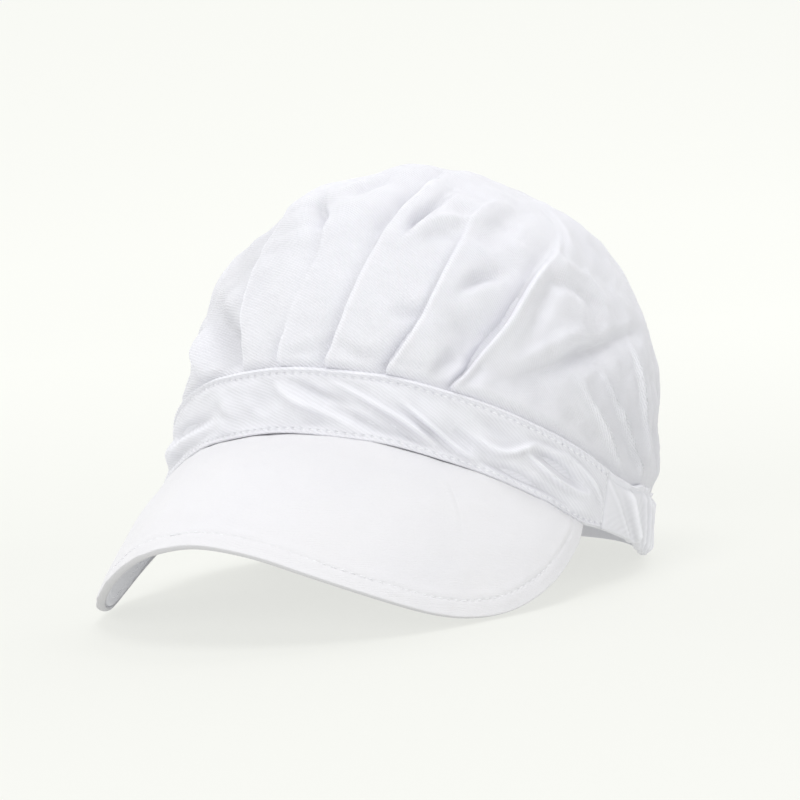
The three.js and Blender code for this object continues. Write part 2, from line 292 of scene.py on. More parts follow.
def twillMaterial(name, look):
    material, tree, shader = newMaterial(name, look["roughness"], look["specular"])
    cloth = addNode(tree, "UVMap", {}, uv_map="cloth").outputs[0]  # millimetres on the cloth

    # the yarns run diagonally and a little unevenly
    wander = addNode(tree, "TexNoise", {"Vector": cloth, "Scale": look["wanderScale"], "Detail": 2})
    steps = {0: wander.outputs["Color"], 1: (look["wander"],) * 3, 2: cloth}
    wandered = addNode(tree, "VectorMath", steps, operation="MULTIPLY_ADD")
    turn = (0, 0, math.radians(look["diagonal"]))
    turned = addNode(tree, "Mapping", {"Vector": wandered.outputs[0], "Rotation": turn})
    split = addNode(tree, "SeparateXYZ", {0: turned.outputs[0]})

    ribRate = 2 * math.pi / look["pitch"]
    yarnRate = 2 * math.pi / (look["yarnPitch"] * look["pitch"])
    rib = mathNode(tree, "SINE", mathNode(tree, "MULTIPLY", split.outputs["Y"], ribRate))
    yarn = mathNode(tree, "SINE", mathNode(tree, "MULTIPLY", split.outputs["X"], yarnRate))
    yarn = mathNode(tree, "MULTIPLY", yarn, look["yarnHeight"])
    grain = addNode(tree, "TexNoise", {"Vector": cloth, "Scale": look["grainScale"], "Detail": 3})
    grain = mathNode(tree, "MULTIPLY", grain.outputs["Fac"], look["grain"])
    weave = mathNode(tree, "ADD", mathNode(tree, "ADD", rib, yarn), grain)

    # faint soft rumples, wider than the weave
    rumple = addNode(tree, "TexNoise", {
        "Vector": cloth, "Scale": look["rumpleScale"], "Detail": 4, "Roughness": 0.55, "Distortion": 0.8,
    })
    weaveBump = addNode(tree, "Bump", {
        "Strength": look["weaveStrength"], "Distance": look["weaveDepth"] * mm, "Height": weave,
    })
    rumpleBump = addNode(tree, "Bump", {
        "Strength": look["rumpleStrength"], "Distance": look["rumpleDepth"] * mm,
        "Height": rumple.outputs["Fac"], "Normal": weaveBump.outputs[0],
    })

    # the ribs are a little lighter than the furrows between them
    lightness = mathNode(tree, "MULTIPLY_ADD", weave, 0.3, 0.6, clamp=True)
    tone = mixColours(
        tree, lightness, solidColour(look["colour"], look["furrow"]), solidColour(look["colour"]))
    cloud = addNode(tree, "TexNoise", {"Vector": cloth, "Scale": look["cloudScale"], "Detail": 2})
    tinted = mixColours(tree, cloud.outputs["Fac"], tone, solidColour(look["tint"]), "MULTIPLY")

    # painted highlight on fold ridges, painted shade in furrows and painted shade along the visor's rolled
    # edge, all scaled from a mesh attribute
    paintedShading = addNode(tree, "Attribute", {}, attribute_name="paintedShading")
    shadingFactor = mathNode(tree, "MULTIPLY_ADD", paintedShading.outputs["Fac"], look["paintedShading"], 1.0)
    # the cloth's colour brightened by painted highlight and darkened by painted shade
    wearAndShade = addNode(tree, "VectorMath", {0: tinted, "Scale": shadingFactor}, operation="SCALE")
    setInputs(tree, shader, {"Base Color": wearAndShade.outputs[0], "Normal": rumpleBump.outputs[0]})
    return material


def threadMaterial():
    material, tree, shader = newMaterial("sewing_thread", 0.6)
    coords = addNode(tree, "TexCoord", {})
    noise = addNode(tree, "TexNoise", {"Vector": coords.outputs["Object"], "Scale": 900}).outputs["Fac"]
    tone = mixColours(tree, noise, (0.84, 0.85, 0.88, 1), (0.93, 0.93, 0.95, 1))
    bump = addNode(tree, "Bump", {"Strength": 0.4, "Distance": 0.05 * mm, "Height": noise})
    setInputs(tree, shader, {"Sheen Weight": 0.2, "Base Color": tone, "Normal": bump.outputs[0]})
    return material


materials = {name: twillMaterial("cloth_" + name, look) for name, look in looks.items()}
materials["thread"] = threadMaterial()
print("materials ready")


# Meshes
def gridFaces(first, rows, columns, loop=False, flip=False):
    # quads of a grid whose points are numbered row by row from first
    i = np.arange(rows if loop else rows - 1)
    j = np.arange(columns - 1)
    a = first + i[:, None] * columns + j[None, :]
    b = first + ((i[:, None] + 1) % rows) * columns + j[None, :]
    quads = np.stack([a, b, b + 1, a + 1], -1).reshape(-1, 4)
    return (quads[:, ::-1] if flip else quads).tolist()


def closedLoops(loops):
    # a closed shell: each row of the grid is a loop, and the first and last loop are filled
    count, rows = loops.shape[:2]
    start = np.arange(count - 1) * rows
    end = start + rows - 1
    seam = np.stack([end, end + rows, start + rows, start], -1).tolist()
    ends = [list(range(rows))[::-1], [(count - 1) * rows + j for j in range(rows)]]
    return gridFaces(0, count, rows) + seam + ends


def topFan(first, columns, rows, tip, flip=False):
    # triangles from the tops of all columns to the tip
    tops = first + np.arange(columns) * rows + rows - 1
    pair = [np.roll(tops, -1), tops] if flip else [tops, np.roll(tops, -1)]
    return np.stack([*pair, np.full(columns, tip)], -1).tolist()


def tubeFaces(rings, spokes):
    # quads round a tube whose rings follow each other, and its two ends
    ring = np.arange(rings - 1)[:, None] * spokes
    spoke = np.arange(spokes)[None, :]
    following = (spoke + 1) % spokes
    quads = np.stack([
        ring + spoke, ring + following, ring + spokes + following, ring + spokes + spoke,
    ], -1)
    ends = [list(range(spokes))[::-1], list(range((rings - 1) * spokes, rings * spokes))]
    return quads.reshape(-1, 4).tolist() + ends


def standingOut(points, lift):
    # how sharply each place of a grid rises above (1) or dips below (-1) the cloth round it
    leastGap, sharpest, fullBend = 0.04, 6, 1.2
    bend = np.zeros(lift.shape)
    for axis in (0, 1):
        gap = np.maximum(np.linalg.norm(np.diff(points, axis=axis), axis=-1), leastGap)
        slope = np.diff(lift, axis=axis) / gap
        width = (np.delete(gap, 0, axis) + np.delete(gap, -1, axis)) / 2
        pad = [(1, 1) if k == axis else (0, 0) for k in (0, 1)]
        bend -= np.pad(np.clip(np.diff(slope, axis=axis) / width, -sharpest, sharpest), pad)
    for _ in range(3):
        for axis in (0, 1):
            bend = (2 * bend + np.roll(bend, 1, axis) + np.roll(bend, -1, axis)) / 4
    return np.tanh(bend / fullBend)


def meshPiece(name, points, faces, material, uvs=None, replaced=None, shadingValues=None):
    # points in millimetres round the ring's centre
    mesh = bpy.data.meshes.new(name)
    placed = (np.asarray(points).reshape(-1, 3) + np.array([0, ringShift, 0])) * mm
    mesh.from_pydata(placed.tolist(), [], faces)
    mesh.validate()
    if uvs is not None:
        layer = mesh.uv_layers.new(name="cloth")
        corners = np.empty(len(mesh.loops), dtype=np.int32)
        mesh.loops.foreach_get("vertex_index", corners)
        layer.data.foreach_set("uv", np.asarray(uvs, dtype=np.float32).reshape(-1, 2)[corners].ravel())
    # painted highlight (above 0) and painted shade (below 0) for each point, stored for the material
    if shadingValues is not None:
        wearAndShade = mesh.attributes.new("paintedShading", "FLOAT", "POINT")
        wearAndShade.data.foreach_set("value", np.asarray(shadingValues, dtype=np.float32).ravel())
    mesh.polygons.foreach_set("use_smooth", np.ones(len(mesh.polygons), dtype=bool))
    mesh.materials.append(material)
    piece = bpy.data.objects.new(name, mesh)
    bpy.context.scene.collection.objects.link(piece)
    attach(piece, "root")
    if replaced:
        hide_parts(replaced)
    return piece


# The crown
crownShape = {
    # Each pleat's stations run up from the band: heading, share of the height, lift of the upper layer,
    # depth of the valley beside it, softness of its folded edge and how far the edge overlaps, in mm.
    "pleats": [
        [(-44, 0, 0.3, 0.8, 0.5, 0.6), (-52, 0.15, 0.5, 0.8, 2.0, 0.3), (-66, 0.35, 0.3, 0.5, 4.0, 0.0),
            (-92, 0.6, 0.0, 0.0, 6.0, 0.0)],
        [(-28, 0, 0.9, 1.5, 0.6, 0.5), (-33, 0.09, 0.7, 1.0, 1.6, 0.2), (-38, 0.17, 0.3, 0.4, 3.0, 0.0),
            (-46, 0.3, 0.1, 0.1, 4.0, 0.0), (-64, 0.5, 0.0, 0.0, 5.0, 0.0), (-80, 0.7, 0.0, 0.0, 6.0, 0.0)],
        [(-13, 0, 1.0, 1.7, 0.5, 0.7), (-16, 0.1, 0.9, 1.3, 0.8, 0.6), (-20, 0.22, 0.8, 1.1, 0.5, 0.7),
            (-24, 0.34, 0.8, 1.1, 0.45, 0.7), (-29, 0.45, 0.9, 1.2, 0.5, 0.7),
            (-37, 0.57, 1.1, 1.2, 1.1, 0.3), (-52, 0.7, 0.6, 0.6, 3.0, 0.0),
            (-70, 0.84, 0.0, 0.0, 6.0, 0.0)],
        [(-2, 0, 1.5, 2.4, 0.3, 1.0), (-2, 0.06, 1.5, 2.2, 0.4, 0.8), (-2, 0.13, 0.6, 0.9, 1.6, 0.1),
            (-1, 0.25, 0.4, 0.7, 3.0, 0.0), (0, 0.37, 0.7, 1.3, 3.2, 0.0), (-2, 0.49, 1.5, 2.6, 2.2, 0.0),
            (-7, 0.59, 1.9, 3.2, 1.8, 0.0), (-17, 0.67, 1.2, 1.8, 2.8, 0.0),
            (-30, 0.8, 0.0, 0.0, 6.0, 0.0)],
        [(9.5, 0, 1.9, 3.4, 0.3, 1.2), (11, 0.07, 2.0, 3.2, 0.4, 0.9), (13, 0.18, 1.9, 2.4, 0.9, 0.4),
            (16, 0.34, 2.0, 2.6, 2.0, 0.1), (21, 0.51, 2.4, 3.6, 2.6, 0.0), (25, 0.58, 2.6, 4.4, 2.4, 0.0),
            (31, 0.67, 2.6, 4.2, 2.2, 0.0), (41, 0.76, 2.2, 3.2, 2.2, 0.0), (58, 0.84, 1.2, 1.6, 2.6, 0.0),
            (82, 0.9, 0.0, 0.0, 5.0, 0.0)],
        [(23, 0, 1.9, 3.6, 0.3, 1.2), (26, 0.07, 2.0, 3.2, 0.3, 0.9), (31, 0.18, 1.7, 1.6, 0.4, 0.5),
            (37, 0.32, 1.7, 1.1, 0.6, 0.3), (43, 0.43, 1.8, 0.9, 1.4, 0.1), (52, 0.56, 1.9, 1.2, 3.0, 0.0),
            (64, 0.64, 1.2, 0.8, 4.0, 0.0), (86, 0.72, 0.0, 0.0, 5.0, 0.0)],
        [(37, 0, 2.0, 3.2, 0.3, 1.2), (41, 0.06, 2.2, 3.4, 0.3, 1.3), (45.5, 0.13, 2.5, 3.8, 0.3, 1.4),
            (52, 0.22, 2.9, 4.0, 0.35, 1.4), (60, 0.33, 2.9, 2.6, 0.6, 1.1), (68, 0.41, 2.5, 1.6, 1.3, 0.4),
            (79, 0.49, 1.9, 1.1, 2.4, 0.0), (90, 0.57, 1.2, 0.8, 3.4, 0.0), (98, 0.64, 0.5, 0.3, 4.0, 0.0),
            (105, 0.74, 0.0, 0.0, 6.0, 0.0)],
    ],
    "upperWidth": 11.0, "lowerWidth": 5.2, "upperGain": 1.15, "lowerGain": 1.2,
    "edgeRoll": 0.2, "softness": 0.8, "climb": 150.0,
    # free folds: name, lift (a crease is negative), half width in mm, the steep side's share of the width,
    # and stations of heading and share of the height
    "folds": [
        ("drape", -3.2, 1.9, 2.4, [(49, 0.07), (58, 0.125), (66, 0.17), (74, 0.23), (82, 0.268),
            (94, 0.293), (108, 0.31)]),
        ("drapeRidge", 1.7, 2.6, 1.0, [(50, 0.11), (58, 0.165), (67, 0.225), (78, 0.29)]),
        ("crease", -4.4, 2.0, 0.7, [(27, 0.455), (30, 0.51), (34, 0.56), (40, 0.615), (54, 0.73)]),
        ("creaseWide", -1.2, 5.0, 1.0, [(32, 0.56), (38, 0.62), (46, 0.68), (60, 0.78)]),
        ("creaseRim", 2.2, 2.6, 1.0, [(27, 0.42), (31, 0.475), (37, 0.52), (45, 0.55), (55, 0.555)]),
        ("pocket", -1.5, 3.6, 1.0, [(33, 0.445), (39, 0.475), (46, 0.495)]),
        ("topDip", -2.8, 5.4, 1.0, [(70, 0.88), (63, 0.81), (59, 0.73), (59, 0.65)]),
        ("topFold", -2.2, 3.6, 0.8, [(-6, 0.66), (3, 0.74), (8, 0.81), (14, 0.9)]),
        ("topRidge", 1.8, 3.4, 1.0, [(-16, 0.72), (-6, 0.79), (2, 0.87)]),
        ("besideSecond", -2.2, 4.4, 1.0, [(-24, 0.72), (-14, 0.66), (-7, 0.6), (-5, 0.5)]),
        ("midDent", -1.7, 3.0, 1.0, [(23, 0.18), (28, 0.19), (34, 0.19)]),
        ("midRise", 1.0, 3.2, 1.0, [(27, 0.24), (31, 0.245), (35, 0.24)]),
        ("wedge", -4.2, 2.6, 0.8, [(40, 0.265), (45, 0.315), (49, 0.345), (56, 0.375)]),
        ("wedgeSpike", 0.6, 0.9, 1.0, [(51, 0.45), (52, 0.41), (54, 0.37)]),
        ("shoulderDip", -3.8, 6.0, 1.0, [(50, 0.44), (60, 0.53), (73, 0.6), (92, 0.68)]),
        ("besideLast", -2.6, 3.4, 1.0, [(75, 0.4), (68, 0.35), (62, 0.28), (55, 0.16)]),
        ("besideLastTop", -1.0, 2.4, 0.8, [(78, 0.455), (84, 0.505), (93, 0.585), (106, 0.68)]),
        ("hook", -1.4, 2.4, 1.0, [(68, 0.375), (76, 0.385), (83, 0.375), (90, 0.35)]),
        ("hookRim", 0.8, 2.4, 1.0, [(74, 0.415), (82, 0.44), (88, 0.42), (92, 0.38)]),
        ("lastLow", -1.8, 2.2, 1.0, [(39, 0.01), (42, 0.05), (46, 0.1)]),
        ("lowDent", -3.0, 2.4, 1.0, [(33, 0.02), (36, 0.07), (40, 0.11)]),
        ("lowRise", 1.4, 1.8, 1.0, [(36, 0.01), (38, 0.045), (42, 0.09)]),
        ("middleLow", -2.2, 5.0, 1.0, [(38, 0.15), (42, 0.17), (45, 0.155)]),
        ("besideThird", -1.8, 2.6, 1.0, [(12, 0.07), (15, 0.06), (18, 0.045), (22, 0.07)]),
        ("besideFirst", -1.3, 3.0, 1.0, [(0, 0.025), (4, 0.045), (9, 0.055)]),
        ("leftHollow", -6.4, 6.0, 1.0, [(-44, 0.28), (-34, 0.22), (-24, 0.14), (-18, 0.06), (-14, 0.0)]),
        ("leftBulge", 1.8, 3.2, 1.0, [(-34, 0.13), (-31, 0.085), (-27, 0.04), (-23, 0.0)]),
        ("besideFifth", -2.2, 4.6, 1.0, [(11, 0.36), (16, 0.51), (20.5, 0.59), (27, 0.68), (36, 0.77)]),
        ("gatherRidgeA", 2.5, 1.15, 1.0, [(68, 0.16), (74, 0.09), (78, 0.05), (83, 0.0)]),
        ("gatherRidgeB", 2.5, 1.15, 1.0, [(79, 0.2), (82, 0.15), (86, 0.09), (90, 0.03), (91, 0.0)]),
        ("gatherRidgeC", 2.2, 1.15, 1.0, [(96, 0.28), (95, 0.21), (95, 0.12), (96, 0.02)]),
        ("gatherDipA", -1.0, 3.4, 1.0, [(74, 0.16), (79, 0.11), (83, 0.05), (86, 0.0)]),
        ("gatherDipB", -0.8, 3.0, 1.0, [(87, 0.2), (90, 0.12), (93, 0.05), (94, 0.0)]),
        ("gatherDipC", -1.4, 4.0, 1.0, [(62, 0.08), (71, 0.04), (80, 0.0)]),
    ],
    "foldTaper": 0.7,
    # broad fullness and slack: heading, share of the height, lift and width in mm
    "fullness": [
        (150, 0.25, -1.6, 60), (118, 0.4, -0.9, 32), (114, 0.52, 1.6, 15), (100, 0.7, -1.6, 20),
        (-62, 0.67, -1.6, 24), (42, 0.92, 3.4, 19), (-4, 0.8, -2.0, 15), (-36, 0.72, 1.4, 9),
        (-72, 0.88, -1.0, 14), (-58, 0.19, -4.2, 18), (-61, 0.42, 2.6, 15), (118, 0.03, 0.3, 9),
        (-60, 0.93, -1.6, 12), (120, 0.85, 1.6, 14), (-62, 0.54, -2.4, 13), (135, 0.8, -1.3, 18),
        (124, 0.16, 0.2, 13), (128, 0.3, -1.2, 15), (-59.5, 0.205, -1.6, 9), (-43, 0.125, -2.6, 8),
    ],
    # gathers above the casing and the slack over them: from heading, count, lift, seed of their pitch
    "gathers": (103, 32, 1.5, 3), "slack": (106, 12, 1.6, 11),
    "gatherSway": 5, "gathersFadeBy": 0.26, "slackFadesFrom": 0.1, "slackFadesOver": 0.55,
    # size of the bumps in mm, seed, lift
    "broadBumps": [(46, 5, 0.9)], "fineBumps": [(14, 8, 0.3), (6, 9, 0.07)],
    # columns before the first pleat, between two pleats, after the last one and over the hidden rear
    "columns": (60, 40, 172, 80), "lastCrowding": 0.45, "rows": 138, "farEnd": -128, "nearEnd": 145,
    # how the rows crowd toward the band, and the share of the climb that the last one reaches
    "crowding": 1.12, "lastRow": 0.992, "innerRows": 42, "innerCrowding": 1.1, "innerLastRow": 0.985,
    # the cloth's wall, and how its lower edge is tucked in behind the band: mm down from the band's
    # upper edge, a height that they are shares of, and mm in from the band's face
    "wall": 2.0, "tucks": (5.0, 1.6), "tuckHeight": 21.0, "tuckedIn": 1.75, "innerTuckedIn": 3.0,
    # the lowest part emerges by that share of the climb: below it, a share of the relief and a depth in mm
    "emergesBy": 0.03, "lowShare": 0.35, "lowDepth": 1.5, "edgeDepth": 1.25,
    # the inner face is smoother: least softness of a pleat's edge and least width of a fold in mm
    "innerSoftness": 2.5, "innerFoldWidth": 4.0,
    "flatSize": (0.3, 0.33), "flatArea": 0.0778,
}
# how strong the painted highlight on fold ridges and the painted shade in furrows are: everywhere, toward the
# near side, beside the side seam and on the lowest rows; then the painted shade in the broad hollow on the
# far side, full at that relief in mm
crownShading = {
    "overall": 0.6, "nearSide": 0.3, "besideSeam": 0.7, "lowRows": 0.3, "hollow": 1.1, "hollowRelief": 4.5,
}


def pleatAt(pleat, up):
    # heading, lift, valley, softness and overlap of a pleat's edge at a share of the height
    rows = np.array(pleat, float)
    return [curveThrough(rows[:, 1], rows[:, column], up) for column in (0, 2, 3, 4, 5)]


def evenShares(count):
    return np.linspace(0, 1, count, endpoint=False)


def crownHeadings(ups):
    # headings of every column at every height: a column follows each pleat's edge, others crowd beside it
    start, stop = crownShape["farEnd"], crownShape["nearEnd"]
    first, between, last, rear = crownShape["columns"]
    edges = [pleatAt(pleat, ups)[0] for pleat in crownShape["pleats"]]
    edges = [np.full(len(ups), start), *edges, np.full(len(ups), stop)]
    middle = 0.5 - 0.5 * np.cos(np.pi * evenShares(between))
    spacing = [np.sin(evenShares(first) / 2 * np.pi)] + [middle] * (len(edges) - 3)
    crowded, share = 1 - np.cos(evenShares(last) / 2 * np.pi), crownShape["lastCrowding"]
    spacing += [share * crowded + (1 - share) * evenShares(last)]
    columns = []
    for low, high, shares in zip(edges, edges[1:], spacing):
        columns += [low + (high - low) * share for share in shares]
    columns += [np.full(len(ups), stop + (start + 360 - stop) * share) for share in evenShares(rear)]
    return np.array(columns)


def pleatRelief(heading, up, base, softest):
    lift = slide = 0.0  # slide is a sideways shift in mm that makes the folded edge overhang
    radius = np.linalg.norm(base[..., :2] - np.array([0, 6.0]), axis=-1)
    for pleat in crownShape["pleats"]:
        edge, rise, valley, softness, overlap = pleatAt(pleat, up)
        turning = np.radians(pleatAt(pleat, up + 0.01)[0] - pleatAt(pleat, up - 0.01)[0])
        slope = turning / 0.02 * radius / crownShape["climb"]
        across = np.radians(turnBetween(heading, edge)) * radius / np.sqrt(1 + slope * slope)
        above, below = np.maximum(across, 0), np.maximum(-across, 0)
        onTop = 0.5 + 0.5 * np.tanh(across / np.maximum(crownShape["softness"] * softness, softest))
        upper = rise * np.exp(-(above / crownShape["upperWidth"]) ** 1.3)
        lower = valley * np.exp(-(below / crownShape["lowerWidth"]) ** 1.35)
        roll = crownShape["edgeRoll"] * rise * bell(across - 0.9, 1.1) * (softest == 0)
        lift += crownShape["upperGain"] * onTop * upper - crownShape["lowerGain"] * (1 - onTop) * lower + roll
        slide += overlap * ((1 - onTop) * np.exp(-below / 1.5) * 0.4 - onTop * np.exp(-above / 3.0) * 0.6)
    return lift, slide, radius


def gatheredBack(heading, kind):
    start, count, lift, seed = crownShape[kind]
    return lift * gatherTurns(heading, count, start, seed)


def crownRelief(heading, up, coarse=False):
    # how far the cloth stands off the plain dome, in mm; the coarse relief is the inner face's
    base = domePoint(heading, up, 0)
    lift, slide, radius = pleatRelief(heading, up, base, crownShape["innerSoftness"] if coarse else 0.0)
    for place, height, rise, width in crownShape["fullness"]:
        lift += rise * bell(np.linalg.norm(base - domePoint(place, height, 0), axis=-1), width)
    for _, rise, halfWidth, lean, stations in crownShape["folds"]:
        width = max(halfWidth, crownShape["innerFoldWidth"]) if coarse else halfWidth
        lift += rise * ridgeAlong(base, stations, domePoint, 28, width, lean, crownShape["foldTaper"])
    leaning = heading + crownShape["gatherSway"] * np.sin(up * 9) * smooth(up / 0.3)
    gathersLeft = 1 - smooth(up / crownShape["gathersFadeBy"])
    slackLeft = 1 - smooth((up - crownShape["slackFadesFrom"]) / crownShape["slackFadesOver"])
    lift += gatheredBack(leaning, "gathers") * gathersLeft * smooth((up + 0.05) / 0.06)
    lift += gatheredBack(leaning, "slack") * smooth(up / 0.08) * slackLeft
    lift += uneven(base, crownShape["broadBumps"]) * smooth(up / 0.12)
    if not coarse:
        lift += uneven(base, crownShape["fineBumps"]) * smooth(up / 0.05)
    emerging, lowShare = smooth(up / crownShape["emergesBy"]), crownShape["lowShare"]
    lift = lift * (lowShare + (1 - lowShare) * emerging) - crownShape["lowDepth"] * (1 - emerging)
    lift = np.where(up <= 0, np.minimum(lift, -crownShape["edgeDepth"]), lift)
    return lift, slide * (0.6 + 0.4 * emerging), radius


def crownSurface(heading, up, coarse=False):
    lift, slide, radius = crownRelief(heading, up, coarse)
    if coarse:
        return domePoint(heading, up, lift - crownShape["wall"])
    return domePoint(heading + np.degrees(slide / np.maximum(radius, 12)), up, lift)


def crownPaintedShading(headings, ups):
    # painted highlight on the ridges and painted shade in the furrows, strongest beside the side seam, plus
    # painted shade in the far side's broad hollow
    relief = crownRelief(headings, ups)[0]
    shadingValues = standingOut(domePoint(headings, ups, 0), relief)
    shadingValues[:, :3] *= crownShading["lowRows"]
    nearSide = smooth((headings - 4) / 30)
    besideSeam = smooth((headings - 62) / 10) * (1 - smooth((ups - 0.2) / 0.1))
    shadingValues *= crownShading["overall"] + crownShading["nearSide"] * nearSide + crownShading["besideSeam"] * besideSeam
    # painted shade that deepens with the relief in the far side's broad hollow
    farSide = smooth((-8 - headings) / 14) * (headings < crownShape["nearEnd"])
    hollow = np.clip(relief / crownShading["hollowRelief"], -1, 0.2)
    return shadingValues + crownShading["hollow"] * farSide * hollow * smooth(ups / crownShape["emergesBy"])


def crownCloth(points):
    # the dome laid flat round an axis that tips forward, so that the weave runs straight over the front
    axis = np.array([0.0, -0.5, 0.866])
    across = np.array([1.0, 0.0, 0.0])
    along = np.cross(axis, across)
    centre, meanRadius = np.array([0, 10.0, 50.0]), 88.0
    rays = points - centre
    rays = rays / np.linalg.norm(rays, axis=-1)[..., None]
    tilt = np.arccos(np.clip(rays @ axis, -1, 1))
    u, v = rays @ across, rays @ along
    flat = np.maximum(np.hypot(u, v), 1e-9)
    return np.stack([u / flat * tilt, v / flat * tilt], -1) * meanRadius


def makeCrown():
    ups = np.linspace(0, 1, crownShape["rows"]) ** crownShape["crowding"] * crownShape["lastRow"]
    headings = crownHeadings(ups)
    columns = len(headings)
    tuckUps = [1 - below / crownShape["tuckHeight"] for below in crownShape["tucks"]]
    tucked = [bandPoint(headings[:, 0], up, -crownShape["tuckedIn"]) for up in tuckUps]
    outer = np.concatenate([np.stack(tucked, 1), crownSurface(headings, ups)], 1)
    rows = outer.shape[1]

    start, count = crownShape["farEnd"], columns // 2
    innerHeadings = np.linspace(start, start + 360, count, endpoint=False)
    innerUps = np.linspace(0, 1, crownShape["innerRows"]) ** crownShape["innerCrowding"]
    innerUps *= crownShape["innerLastRow"]
    lowInner = bandPoint(innerHeadings, tuckUps[0], -crownShape["innerTuckedIn"])
    inner = crownSurface(innerHeadings[:, None], innerUps, coarse=True)
    inner = np.concatenate([lowInner[:, None], inner], 1)
    innerRows = inner.shape[1]

    apexOut = domePoint(np.zeros(1), np.ones(1), crownRelief(np.zeros(1), np.full(1, 0.99))[0])
    apexIn = apexOut - np.array([0, 0, crownShape["wall"]])
    points = np.concatenate([outer.reshape(-1, 3), inner.reshape(-1, 3), apexOut, apexIn])
    first, top = columns * rows, len(points) - 2
    faces = gridFaces(0, columns, rows, loop=True) + gridFaces(first, count, innerRows, loop=True, flip=True)
    faces += topFan(0, columns, rows, top) + topFan(first, count, innerRows, top + 1, flip=True)
    nearest = np.searchsorted(np.append(innerHeadings, start + 360), headings[:, 0], side="right") - 1
    for i in range(columns):  # the raw lower edge joins the two faces
        following = (i + 1) % columns
        steps = (nearest[following] - nearest[i]) % count + 1
        inside = [first + (nearest[i] + n) % count * innerRows for n in range(steps)]
        faces.append([following * rows, i * rows, *inside])
    shades = np.zeros(len(points))
    # painted highlight and painted shade on the outer face's points
    shades[:first] = np.pad(crownPaintedShading(headings, ups), ((0, 0), (2, 0))).ravel()
    piece = meshPiece(
        "crown_cloth", points, faces, materials["crown"], crownCloth(points), "crown", shades)
    print("crown:", len(faces), "faces")


makeCrown()


# The front band
bandShape = {
    "thick": 2.2, "rimThick": 1.2, "foot": 0.35, "seamGap": 0.003, "columns": 720, "crowding": 1.3,
    "topStitch": 2.0, "lowStitch": 1.5, "stitchPitch": 3.0,
    "grooveDepth": 0.2, "grooveWidth": 0.55, "holeDepth": 0.7, "holeLength": 0.4, "holeWidth": 0.36,
    "seamDepth": 0.5, "seamWidth": 0.55, "endRows": (0, 0.08, 0.16, 0.26, 0.38, 0.54, 0.75),
    # diagonal wrinkles: lift and half width in mm, then stations of heading and share of the height
    "wrinkles": [
        (1.0, 1.8, [(-4, 0.8), (1, 0.6), (5, 0.46), (11, 0.35), (18, 0.27)]),
        (-0.9, 1.5, [(-1, 0.86), (5, 0.7), (10, 0.6), (19, 0.47)]),
        (1.1, 1.1, [(11, 0.84), (17, 0.67), (24, 0.51), (29, 0.36), (35, 0.22)]),
        (-1.1, 1.7, [(10, 0.46), (16, 0.35), (21, 0.26), (28, 0.12)]),
        (-0.9, 1.5, [(20, 0.45), (25, 0.31), (30, 0.18), (35, 0.11)]),
        (1.1, 1.0, [(27, 0.68), (32, 0.49), (36, 0.34), (41, 0.2), (45, 0.15)]),
        (-0.8, 1.2, [(25, 0.64), (30, 0.46), (34, 0.33), (38, 0.23)]),
        (-0.8, 1.7, [(38, 0.5), (42, 0.38), (47, 0.26)]),
        (-0.6, 2.0, [(42, 0.78), (46, 0.72), (50, 0.68), (55, 0.7)]),
        (1.2, 1.3, [(44, 0.47), (48, 0.41), (51, 0.46), (54, 0.6), (57, 0.72)]),
        (0.7, 1.8, [(53, 0.56), (57, 0.69), (62, 0.75), (66, 0.77)]),
        (0.6, 1.0, [(64, 0.8), (68, 0.75), (72, 0.65), (75, 0.5), (76.8, 0.33)]),
        (1.3, 1.0, [(54, 0.6), (58, 0.45), (62, 0.36), (66, 0.37), (71, 0.42)]),
        (-1.2, 1.5, [(56, 0.63), (61, 0.595), (65, 0.57), (70, 0.52)]),
        (-1.5, 2.2, [(42, 0.16), (48, 0.16), (54, 0.16), (60, 0.12), (67, 0.07)]),
        (0.2, 1.6, [(-20, 0.52), (-15, 0.4), (-10, 0.3)]),
        (0.2, 1.4, [(-9, 0.4), (-6, 0.31), (-3, 0.24)]),
        (-0.3, 1.8, [(-23, 0.56), (-19, 0.43), (-15, 0.32)]),
        (-0.4, 2.8, [(-19, 0.8), (-10, 0.63), (0, 0.5)]),
        (0.8, 1.9, [(-18, 0.29), (-29, 0.29), (-38, 0.33), (-52, 0.42)]),
        (-1.2, 2.1, [(-22, 0.39), (-32, 0.47), (-42, 0.57), (-58, 0.74)]),
        (-0.9, 2.1, [(-25, 0.03), (-36, 0.15), (-46, 0.22), (-60, 0.3)]),
    ],
    "wrinkleGain": 2.2, "wrinkleSpread": 1.05, "wrinkleTaper": 0.8,
    # mm from the edges where the stitches hold the wrinkles flat, and over which they rise
    "heldTop": 1.6, "heldLow": 1.2, "freeOver": 3.0,
    "bumps": [(17, 21, 0.26), (7, 22, 0.06)],
    # ridges along the edges: distance from the edge, half width and lift in mm, then the strength of the
    # painted highlight along the upper rim
    "rim": (0.65, 0.5, 0.6), "lowRim": (0.4, 0.6, 0.15), "endRim": (1.8, 1.2, 0.2), "rimHighlight": 0.9,
    # how much each stitch pinches the rim, distance from the edge and half width in mm
    "rimPinch": (0.14, 0.9, 0.8),
    "flatSize": (0.27, 0.0225),
}


